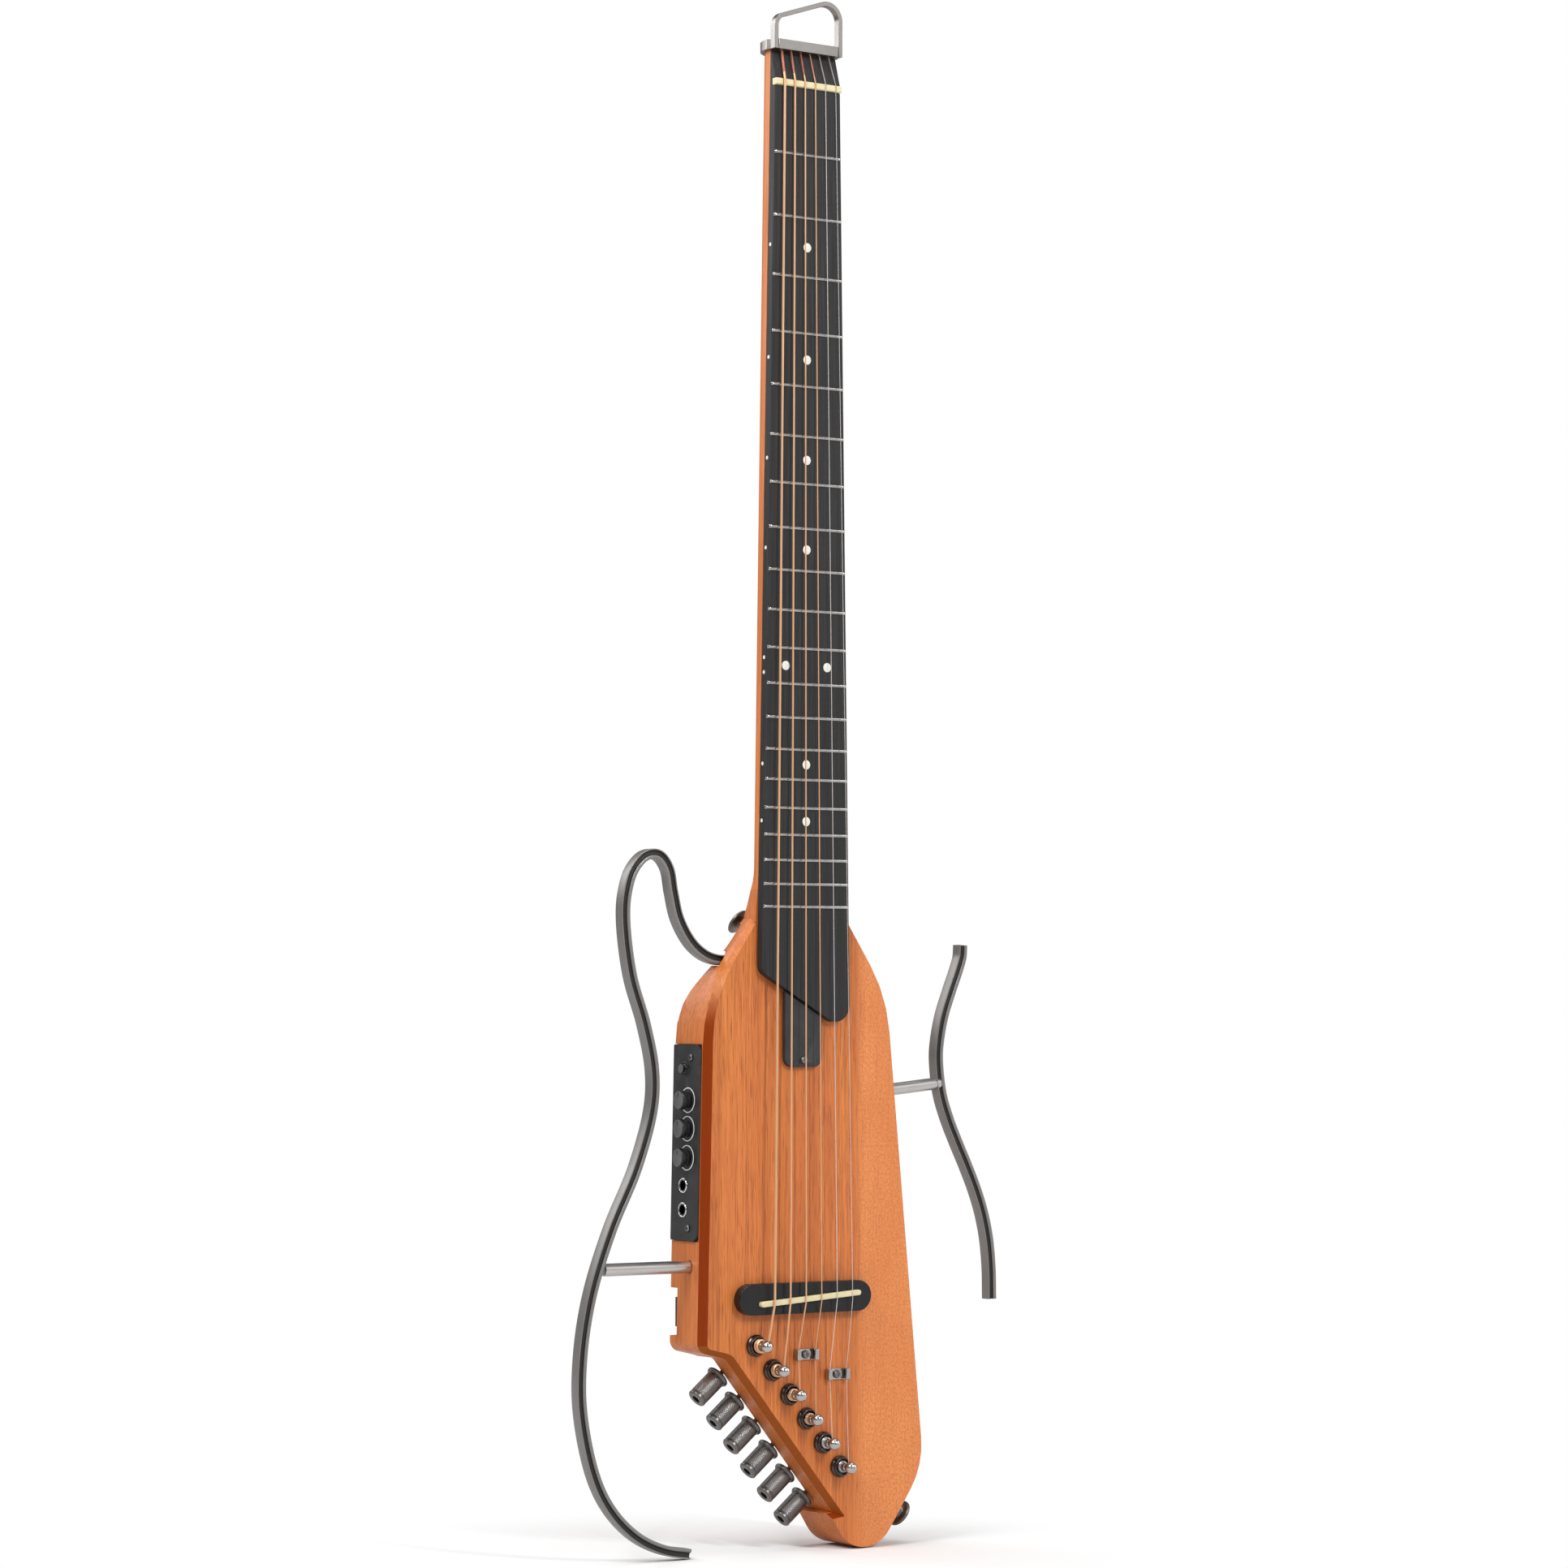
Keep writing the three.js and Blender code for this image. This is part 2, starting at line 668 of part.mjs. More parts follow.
// Control panel on the bass side, in a frame turned with that side
const panelLengthShare = 0.30765;
const panelDownShare = 0.35206;
const panelThickness = 2.2;
const panelProud = 1.2;
const panelFront = 10.2;
const panelBackGap = 0.4;
const panelFrontRound = 4.5;
const panelBackRound = 1.2;
const panelPocketMargin = 3.2;
const panelPocketDepth = 14;
const panelPocketRoom = 2.5;
const panelLength = bodyLength * panelLengthShare;
const panelZ = bodyTop - bodyLength * panelDownShare;
const panelFrame = new THREE.Matrix4().makeBasis(
  new THREE.Vector3(leftRun.y, 0, -leftRun.x),
  new THREE.Vector3(0, 1, 0),
  new THREE.Vector3(leftRun.x, 0, leftRun.y),
).setPosition(leftX(panelZ), 0, panelZ);
const panelBack = bodyBack - panelBackGap;
const panelScrewY = 18.5;
const panelScrewShare = 0.434;
const panelScrewRadius = 1;
const buttonKnobFlange = 3.5;
const buttonPlaceShare = 0.3757;
const buttonKnobY = 24.5;

// Battery bay in the back
const bayAboveCorner = 7.4;
const baySlotHeight = 25.5;
const bayFloorDepth = 24.5;
const bayNotchWidth = 12;
const bayRight = -8;
const bayGroove = 3.1;
const bayLip = 2;
const bayLedge = 1.5;
const cellRadius = 5.1;
const cellLength = 44.5;
const cellPitch = 10.6;
const doorThickness = 2.3;
const bayBottomZ = leftLow.y + bayAboveCorner;
const bayTopZ = bayBottomZ + baySlotHeight;
const bayMiddleZ = (bayTopZ + bayBottomZ) / 2;
const bayFloor = bodyFront + bayFloorDepth;
const bayNotchRight = leftX(bayMiddleZ) + bayNotchWidth;
const cellY = bayFloor + seat - fit - cellRadius;
const holderBase = 1.2;
const bayCavityFront = cellY - cellRadius - fit - holderBase - seat;

// Small parts on the front
const coverHalfWidth = 12;
const coverLength = 27.6;
const coverThickness = 2.8;
const coverRound = 5;
const coverScrewUp = 3.8;
const coverGap = 0.5;
const rodAccessHalf = 4.2;
const screwShank = 1;
const coverBottom = boardEndZ(coverHalfWidth) - coverLength;
const coverScrewZ = coverBottom + coverScrewUp;
const treeDrops = [30.3, 41.7];
const treeScrewShank = 1.1;
const treeScrewDepth = 8;
const treeX = (tree) => (stringX(3 + 2 * tree, saddleZ) + stringX(4 + 2 * tree, saddleZ)) / 2;
const treeZ = (tree) => saddleZ - treeDrops[tree];

// Strap button and end jack
const buttonBase = [-14.8, 32.6, 0];
const buttonDrop = 6.2;
const buttonAway = [-0.358, 0.726, 0.587];
const buttonSpotRadius = 5.2;
const buttonScrewRadius = 1.8;
const buttonScrewDepth = 9;
const jackShare = 0.36;
const jackBarrelRadius = 6.2;
const jackY = 21;
const jackDepth = 26;
const buttonSeat = [buttonBase[0], buttonBase[1], bodyTop - buttonDrop];
const hipCorner = new THREE.Vector2(rightLow.x, rightLow.y);
const tipCorner = new THREE.Vector2(...bodyCorner("tip", 0).slice(0, 2));
const jackRun = tipCorner.clone().sub(hipCorner).normalize();
const jackPlace = hipCorner.clone().lerp(tipCorner, jackShare);
const jackSeat = [jackPlace.x, jackY, jackPlace.y];
const jackAway = [-jackRun.y, 0, jackRun.x];

function bodyShell() {
  const flat = 0;
  const insets = [flat, flat, flat, flat, chamferDiagonal, chamferDiagonal, chamferDiagonal];
  const front = insetCorners(bodyCorners, [...insets, chamferSide, chamferSide / 2, flat]);
  const outer = roundedOutline(bodyCorners);
  const inner = roundedOutline(front);
  const ring = (outline, y) => outline.map((p) => new THREE.Vector3(p.x, y, p.y));
  const rings = [ring(outer, bodyBack), ring(outer, bodyFront + chamferDepth), ring(inner, bodyFront)];
  return loft(rings, outer);
}

// The recess behind the tuners, or with a margin the plate that lies in it
function recessOutline(margin, reach) {
  return [
    tunerPoint(0, -recessCornerCut, margin - recessInner),
    tunerPoint(0, margin - recessEnds, margin - recessCornerInner),
    tunerPoint(0, margin - recessEnds, reach),
    tunerPoint(stringCount - 1, recessEnds + wormOffset - margin, reach),
    tunerPoint(stringCount - 1, recessEnds + wormOffset - margin, margin - recessInner),
  ];
}

function panelCutters() {
  const half = panelLength / 2 + fit;
  const pocketHalf = panelPocketHalf();
  const rebateDepth = panelThickness - panelProud + fit;
  const rebate = block(-overrun * 2, rebateDepth, panelFront - fit, bodyBack + overrun, -half, half);
  const pocketFront = panelFront + panelPocketMargin;
  const pocketBack = panelBack - panelPocketMargin;
  const pocket = block(0, panelPocketDepth, pocketFront, pocketBack, -pocketHalf, pocketHalf);
  const buttonPlace = [0, buttonKnobY, panelLength * buttonPlaceShare];
  const buttonBay = peg(buttonKnobFlange + 2 * fit, 0, panelPocketDepth, buttonPlace, [1, 0, 0]);
  const screws = [-1, 1].map((side) => {
    const place = [0, panelScrewY, side * panelLength * panelScrewShare];
    return peg(panelScrewRadius + fit, -overrun, treeScrewDepth + fit, place, [1, 0, 0], smallSides);
  });
  return [rebate, pocket, buttonBay, ...screws].map((g) => g.applyMatrix4(panelFrame));
}

function bayCutters() {
  const back = bodyBack + overrun;
  const notchLeft = leftX(bayBottomZ) - overrun * 2;
  const notch = block(notchLeft, bayNotchRight, bayFloor, back, bayBottomZ, bayTopZ);
  const inner = bayNotchRight - overrun;
  const groove = block(inner, bayRight, bayFloor, bayFloor + bayGroove, bayBottomZ, bayTopZ);
  const window = block(inner, bayRight, bayFloor, back, bayBottomZ + bayLip, bayTopZ - bayLip);
  const cellsLeft = bayRight - overrun - cellLength - 4 * holderBase;
  const [low, high] = [bayBottomZ + bayLedge, bayTopZ - bayLedge];
  const cavity = block(cellsLeft, bayRight - overrun, bayCavityFront, bayFloor + overrun, low, high);
  return [notch, groove, window, cavity];
}

// The body's upper end is rounded behind like the neck and gets squarer further down
const heelRoundLength = 55;
const heelWideningShare = 0.74;
const heelEndSquareShare = 12;
const heelRings = 12;

function aroundHeel() {
  const rings = [];
  for (let k = -1; k <= heelRings + 1; k += 1) {
    const down = k / heelRings;
    const halfWidth = heelX + fit + down * heelRoundLength * heelWideningShare;
    const squareness = THREE.MathUtils.clamp(down, 0, 1) ** 3;
    const sharpness = THREE.MathUtils.lerp(heelSquareShare, heelEndSquareShare, squareness);
    rings.push(neckRing(bodyTop - down * heelRoundLength, halfWidth, bodyDepth, sharpness, bodyFront));
  }
  const core = loft(rings, neckOutline(1, 1, neckSquareShare, 0));
  const around = block(
    -bodyHalfWidth, bodyHalfWidth, bodyFront + chamferDepth, bodyBack + overrun,
    bodyTop - heelRoundLength, bodyTop + overrun,
  );
  return geometryOf(cut(solid(around), [core]));
}

function makeBody() {
  const heelHeights = [];
  const heelSteps = 6;
  for (let k = 0; k <= heelSteps; k += 1) {
    heelHeights.push(THREE.MathUtils.lerp(seamZ, bodyTop - overrun, k / heelSteps));
  }
  const shell = cut(solid(bodyShell()), [aroundHeel()]);
  const whole = join(geometryOf(shell), neckLoft(heelHeights, boardThickness));
  const backwards = [0, 1, 0];
  const pocketHalf = tongueHalfWidth + fit;
  const pocketBottom = seamZ - tongueLength - fit;
  const tonguePocket = block(
    -pocketHalf, pocketHalf, -overrun, neckFront + tongueDepth, pocketBottom, seamZ + overrun,
  );
  const accessBottom = coverScrewZ + rodAccessHalf;
  const accessBack = neckFront + rodGrooveDepth;
  const rodAccess = block(-rodAccessHalf, rodAccessHalf, -overrun, accessBack, accessBottom, seamZ);
  const screwHole = (radius, x, z) => peg(
    radius + fit, -overrun, treeScrewDepth + fit, [x, bodyFront, z], backwards, smallSides,
  );
  const coverScrew = screwHole(screwShank, 0, coverScrewZ);
  const slotTop = slotFloorZ + heelSlotHeight;
  const heelSlot = block(
    -bodyHalfWidth, heelSlotEnd, heelSlotFront, bodyBack + overrun, slotFloorZ, slotTop,
  );
  const leftBore = peg(rodRadius + fit, -rodBoreDepth, overrun, leftRodBase, leftRodAway);
  const rightBore = peg(rodRadius + fit, -rodBoreDepth, overrun, rightRodBase, rightRodAway);
  const posts = stringDiameters.flatMap((diameter, i) => {
    const { x, y } = tunerPost(i);
    const place = [x, bodyFront, y];
    return [
      peg(postRadius + fit, -overrun, tunerFloorDepth + overrun, place, backwards, postSides),
      peg(ferruleSleeve + fit, -overrun, ferruleSleeveDepth + fit, place, backwards, postSides),
    ];
  });
  const trees = treeDrops.map((drop, tree) => screwHole(treeScrewShank, treeX(tree), treeZ(tree)));
  const spot = peg(buttonSpotRadius, 0, bodyDepth, buttonSeat, buttonAway);
  const buttonHoleDepth = buttonScrewDepth + fit;
  const buttonScrew = peg(
    buttonScrewRadius + fit, -buttonHoleDepth, overrun, buttonSeat, buttonAway, smallSides,
  );
  const recess = plate(recessOutline(0, tunerInset + bodyDepth), tunerFloor, bodyBack + overrun);
  const jackBore = peg(jackBarrelRadius + fit, -jackDepth - fit, overrun, jackSeat, jackAway);
  piece("body", cut(whole, [
    tonguePocket, rodAccess, coverScrew, heelSlot, leftBore, rightBore, ...posts, ...trees,
    recess, ...panelCutters(), ...bayCutters(), spot, buttonScrew, jackBore,
  ]), "mahogany");
}

// Bridge, saddle and the pickup strip under it
const bridgeHalfLength = 43;
const bridgeHeight = 16.6;
const bridgeThickness = 6;
const bridgeTop = 8.7;
const saddleLength = 65.4;
const saddleWidth = 3;
const saddleSlant = 4;
const saddleShift = 2.1;
const slotDepth = 5;
const pickupThickness = 0.8;

function slantedCorners(length, width) {
  const turn = THREE.MathUtils.degToRad(saddleSlant);
  const middle = new THREE.Vector2(saddleShift, saddleZ);
  const round = width / 2 - weld;
  return [[1, 1], [1, -1], [-1, -1], [-1, 1]].map(([sx, sz]) => {
    const corner = new THREE.Vector2(saddleShift + (sx * length) / 2, saddleZ + (sz * width) / 2);
    corner.rotateAround(middle, turn);
    return [corner.x, corner.y, round];
  });
}

function makeBridge() {
  const top = saddleZ + bridgeTop;
  const round = bridgeHeight / 2 - weld;
  const corners = [
    [bridgeHalfLength, top, round],
    [bridgeHalfLength, top - bridgeHeight, round],
    [-bridgeHalfLength, top - bridgeHeight, round],
    [-bridgeHalfLength, top, round],
  ];
  const bridgeFront = bodyFront - bridgeThickness;
  const slotCorners = slantedCorners(saddleLength + 2 * fit, saddleWidth + 2 * fit);
  const slotOutline = roundedOutline(slotCorners, saddleStepDegrees);
  const slot = plate(slotOutline, bridgeFront - overrun, bridgeFront + slotDepth);
  const blank = solid(plate(roundedOutline(corners, boardStepDegrees), bridgeFront, bodyFront - fit));
  piece("bridge", cut(blank, [slot]), "blackwood");
  const pickupFront = bridgeFront + slotDepth - seat - pickupThickness;
  const saddleCorners = slantedCorners(saddleLength, saddleWidth);
  const saddleOutline = roundedOutline(saddleCorners, saddleStepDegrees);
  piece("saddle", plate(saddleOutline, -saddleProud, pickupFront - seat), "bone");
  const pickupOutline = roundedOutline(saddleCorners, pickupStepDegrees);
  piece("saddle_pickup", plate(pickupOutline, pickupFront, pickupFront + pickupThickness), "steel");
}

// Screws with a round head, a driver recess and a plain shank
const crownShare = 0.8;

function screw(name, headRadius, headHeight, shankRadius, shankLength, origin, direction, look, parent) {
  const driver = headRadius / 2;
  const recess = headHeight / 2;
  const crown = headRadius * crownShare;
  const profile = [
    [0, shankLength], [shankRadius, shankLength], [shankRadius, 0], [headRadius, 0],
    [headRadius, -headHeight / 2], [crown, -headHeight], [driver, -headHeight],
    [driver, -headHeight + recess], [0, -headHeight + recess],
  ];
  piece(name, turned(profile, origin, direction, smallSides), look, parent);
}

// Cover over the truss rod's nut, bare
const coverScrewHead = 2;
const coverScrewHeight = 1;

function makeCover() {
  const corners = [
    [coverHalfWidth, boardEndZ(coverHalfWidth) - coverGap, 0],
    [coverHalfWidth, coverBottom, coverRound],
    [-coverHalfWidth, coverBottom, coverRound],
    [-coverHalfWidth, boardEndZ(-coverHalfWidth) - coverGap, 0],
  ];
  const back = bodyFront - fit;
  const front = back - coverThickness;
  const place = [0, front, coverScrewZ];
  const hole = peg(screwShank + fit, -overrun, coverThickness + overrun, place, [0, 1, 0], smallSides);
  const blank = solid(plate(roundedOutline(corners, coverStepDegrees), front, back));
  piece("truss_rod_cover", cut(blank, [hole]), "blackPlastic");
  const shankLength = treeScrewDepth + coverThickness - fit;
  const seatPlace = [0, front - fit, coverScrewZ];
  screw(
    "cover_screw", coverScrewHead, coverScrewHeight, screwShank, shankLength, seatPlace,
    [0, 1, 0], "smokedChrome",
  );
}

// Control panel, its knobs, button, jacks and circuit board
const knobRadius = 5.1;
const knobProud = 6.3;
const knobBack = 0.5;
const knobShaft = 1.5;
const knobY = 21;
const knobPlaceShares = [0.216, 0.0707, -0.0774];
const jackPlaceShares = [-0.2189, -0.3432];
const smallJackY = 24;
const smallJackRing = 3.2;
const smallJackBarrel = 2.8;
const smallJackBore = 1.8;
const smallJackProud = 0.5;
const buttonKnobRadius = 2.7;
const buttonKnobProud = 2.8;
const buttonTravel = 1.5;
const boardInside = 7;
const boardPlateThickness = 1.6;
const potHalf = 4.6;
const switchHalf = 2.6;
const buttonFlangeThickness = 1;

function panelPocketHalf() {
  return panelLength * Math.abs(jackPlaceShares[1]) + smallJackBarrel + panelPocketRoom;
}

function makeControls() {
  const side = new THREE.Group();
  side.applyMatrix4(panelFrame);
  guitar.add(side);
  const half = panelLength / 2;
  const face = -panelProud;
  const inside = panelThickness - panelProud;
  const placeOf = (share) => panelLength * share;
  const corners = [
    [panelBack, half, panelBackRound],
    [panelBack, -half, panelBackRound],
    [panelFront, -half, panelFrontRound],
    [panelFront, half, panelFrontRound],
  ];
  const axis = [1, 0, 0];
  const through = (radius, y, share, sides) => peg(
    radius, face - overrun, inside + overrun, [0, y, placeOf(share)], axis, sides,
  );
  const screwZ = placeOf(panelScrewShare);
  const holes = [
    ...knobPlaceShares.map((share) => through(knobShaft + shaftPlay, knobY, share, smallSides)),
    ...jackPlaceShares.map((share) => through(smallJackBarrel + fit, smallJackY, share, roundSides)),
    through(buttonKnobRadius + fit, buttonKnobY, buttonPlaceShare, roundSides),
    through(panelScrewRadius + fit, panelScrewY, panelScrewShare, smallSides),
    through(panelScrewRadius + fit, panelScrewY, -panelScrewShare, smallSides),
  ];
  const blank = solid(bar(roundedOutline(corners, coverStepDegrees), face, inside));
  piece("control_panel", cut(blank, holes), "blackPlastic", side);

  const screwHead = 1.9;
  const screwHeight = 0.9;
  [["panel_screw_upper", screwZ], ["panel_screw_lower", -screwZ]].forEach(([name, z]) => {
    screw(name, screwHead, screwHeight, panelScrewRadius, treeScrewDepth + panelProud,
      [face - fit, panelScrewY, z], axis, "smokedChrome", side);
  });

  knobPlaceShares.forEach((share, i) => {
    const start = face - knobBack;
    const end = face - knobProud;
    const rim = 0.6;
    const profile = [
      [0, boardInside - fit], [knobShaft, boardInside - fit], [knobShaft, start], [knobRadius, start],
      [knobRadius, end + rim], [knobRadius - rim, end], [0, end],
    ];
    const knob = turned(profile, [0, knobY, placeOf(share)], axis, knobSides);
    piece(`control_knob_${i + 1}`, knob, "blackPlastic", side);
  });

  ["aux_jack", "headphone_jack"].forEach((name, i) => {
    const end = boardInside - seat;
    const wall = smallJackBarrel - smallJackBore;
    const profile = [
      [0, end], [smallJackBarrel, end], [smallJackBarrel, face - fit], [smallJackRing, face - fit],
      [smallJackRing, face - fit - smallJackProud], [smallJackBore, face - fit - smallJackProud],
      [smallJackBore, end - wall], [0, end - wall],
    ];
    const place = [0, smallJackY, placeOf(jackPlaceShares[i])];
    piece(name, turned(profile, place, axis, roundSides), "smokedChrome", side);
  });

  const flangeFront = inside + fit;
  const flangeBack = flangeFront + buttonFlangeThickness;
  const buttonProfile = [
    [0, flangeBack], [buttonKnobFlange, flangeBack], [buttonKnobFlange, flangeFront],
    [buttonKnobRadius, flangeFront], [buttonKnobRadius, face - buttonKnobProud + fit],
    [buttonKnobRadius - fit, face - buttonKnobProud], [0, face - buttonKnobProud],
  ];
  const z = placeOf(buttonPlaceShare);
  piece("push_button", turned(buttonProfile, [0, buttonKnobY, z], axis), "blackPlastic", side);

  const boardHalf = panelPocketHalf() - 2 * fit;
  const boardFront = panelFront + panelPocketMargin + fit;
  const boardBack = panelBack - panelPocketMargin - fit;
  const boardEnd = boardInside + boardPlateThickness;
  const onBoard = (start, halfSize, y, middle) => solid(block(
    start, boardInside + fit, y - halfSize, y + halfSize, middle - halfSize, middle + halfSize,
  ));
  let circuit = solid(block(boardInside, boardEnd, boardFront, boardBack, -boardHalf, boardHalf));
  for (const share of knobPlaceShares) {
    const place = [0, knobY, placeOf(share)];
    circuit = circuit.add(onBoard(inside + seat, potHalf, knobY, placeOf(share)));
    circuit = circuit.subtract(solid(peg(knobShaft + shaftPlay, 0, boardInside, place, axis, smallSides)));
  }
  circuit = circuit.add(onBoard(flangeBack + buttonTravel + seat, switchHalf, buttonKnobY, z));
  piece("preamp_board", circuit, "circuit", side);
}

// Battery bay: sliding door, holder and two cells
const doorRidge = 0.6;
const doorRidgeCount = 3;
const doorRidgePitch = 4;
const tabHalfHeight = 7.85;
const tabRight = 1;

function makeBattery() {
  const left = leftX(bayMiddleZ) + tabRight / 2;
  const doorFront = bayFloor + seat;
  const doorBack = doorFront + doorThickness;
  const wideLeft = bayNotchRight - overrun;
  const wide = block(wideLeft, bayRight - fit, doorFront, doorBack, bayBottomZ + fit, bayTopZ - fit);
  const tabLow = bayMiddleZ - tabHalfHeight;
  const tabHigh = bayMiddleZ + tabHalfHeight;
  const tab = block(left, wideLeft + overrun, doorFront, doorBack, tabLow, tabHigh);
  const lip = bayLip + fit;
  const padBack = bodyBack - fit;
  const pad = block(
    bayNotchRight, bayRight - fit, doorBack - fit, padBack, bayBottomZ + lip, bayTopZ - lip,
  );
  let door = join(wide, tab, pad);
  for (let k = 0; k < doorRidgeCount; k += 1) {
    const x = bayNotchRight + doorRidgePitch * (k + 1);
    const groove = block(x, x + doorRidge * 2, padBack - doorRidge, bodyBack + overrun, tabLow, tabHigh);
    door = door.subtract(solid(groove));
  }
  piece("battery_door", door, "blackPlastic");

  const cellsRight = bayRight - overrun - 2 * holderBase;
  const cellsLeft = cellsRight - cellLength;
  const holderLeft = cellsLeft - holderBase - fit;
  const holderRight = cellsRight + holderBase + fit;
  const baseFront = bayCavityFront + seat;
  const low = bayBottomZ + bayLedge + fit;
  const high = bayTopZ - bayLedge - fit;
  const base = block(holderLeft, holderRight, baseFront, baseFront + holderBase, low, high);
  const wallBack = cellY + cellRadius / 2;
  const endLeft = block(holderLeft, holderLeft + holderBase, baseFront, wallBack, low, high);
  const endRight = block(holderRight - holderBase, holderRight, baseFront, wallBack, low, high);
  piece("battery_holder", join(base, endLeft, endRight), "blackPlastic");

  [-1, 1].forEach((side, i) => {
    const z = bayMiddleZ + (side * cellPitch) / 2;
    const tip = 0.8;
    const tipRadius = 1.9;
    const edge = 0.5;
    const profile = [
      [0, 0], [cellRadius - edge, 0], [cellRadius, edge], [cellRadius, cellLength - tip - edge],
      [cellRadius - edge, cellLength - tip], [tipRadius, cellLength - tip], [tipRadius, cellLength],
      [0, cellLength],
    ];
    const start = side < 0 ? cellsLeft : cellsRight;
    piece(`battery_cell_${i + 1}`, turned(profile, [start, cellY, z], [-side, 0, 0]), "cell");
  });
}

// String trees: a bent clip that hooks over two strings, and its screw
const treeHalfWidth = 7;
const treeHeight = 5.8;
const treeSheet = 0.8;
const treeLip = 2.4;
const treeStandoff = 4;
const treeStringInset = 1.5;

const treeStringY = (radius) => bodyFront - treeStandoff + treeSheet + seat + radius;
function treeStringX(number) {
  const tree = number > 4 ? 1 : 0;
  const side = number % 2 ? -1 : 1;
  return treeX(tree) + side * (treeHalfWidth - treeStringInset);
}

function makeTrees() {
  treeDrops.forEach((drop, tree) => {
    const back = bodyFront - fit;
    const webFront = back - treeSheet;
    const lipFront = bodyFront - treeStandoff;
    const halfOutline = [
      [treeHalfWidth, back], [treeHalfWidth, lipFront], [treeHalfWidth - treeLip, lipFront],
      [treeHalfWidth - treeLip, lipFront + treeSheet], [treeHalfWidth - treeSheet, lipFront + treeSheet],
      [treeHalfWidth - treeSheet, webFront],
    ];
    const mirrored = [...halfOutline].reverse().map(([x, y]) => [-x, y]);
    const clip = extruded([...halfOutline, ...mirrored], treeHeight);
    clip.translate(treeX(tree), 0, treeZ(tree) - treeHeight / 2);
    const place = [treeX(tree), back, treeZ(tree)];
    const hole = peg(treeScrewShank + fit, -overrun, overrun, place, [0, 1, 0], smallSides);
    piece(`string_tree_${tree + 1}`, cut(solid(clip), [hole]), "silver");
    const headRadius = 2.3;
    const headHeight = 1.2;
    const shankLength = treeScrewDepth + treeSheet - fit;
    const seatPlace = [treeX(tree), webFront - fit, treeZ(tree)];
    screw(
      `string_tree_screw_${tree + 1}`, headRadius, headHeight, treeScrewShank, shankLength, seatPlace,
      [0, 1, 0], "smokedChrome",
    );
  });
}

// Tuners: plate with bearing lugs, posts with their wheels, knobs with their worms, ferrules
const lugThickness = 1.5;
const lugHalf = 3;
const lugOutside = 12;
const lugInside = 4.9;
const wormShaft = 1.3;
const wormRadius = 1.75;
const wheelHeight = 3.2;
const ballTip = -9.8;
const ballSize = 3.3;
const neckOfPost = 1.6;
const flangeRadius = 6.5;
const flangeStart = 1.6;
const flangeWidth = 2.4;
const barrelRadius = 5.3;
const barrelLength = 16.4;
const mouthRadius = 3.6;
const mouthDepth = 2;
const stubLength = 1;
const ballDegrees = [-55, -20, 20, 58];
const wheelRadius = wormOffset - wormRadius - shaftPlay;

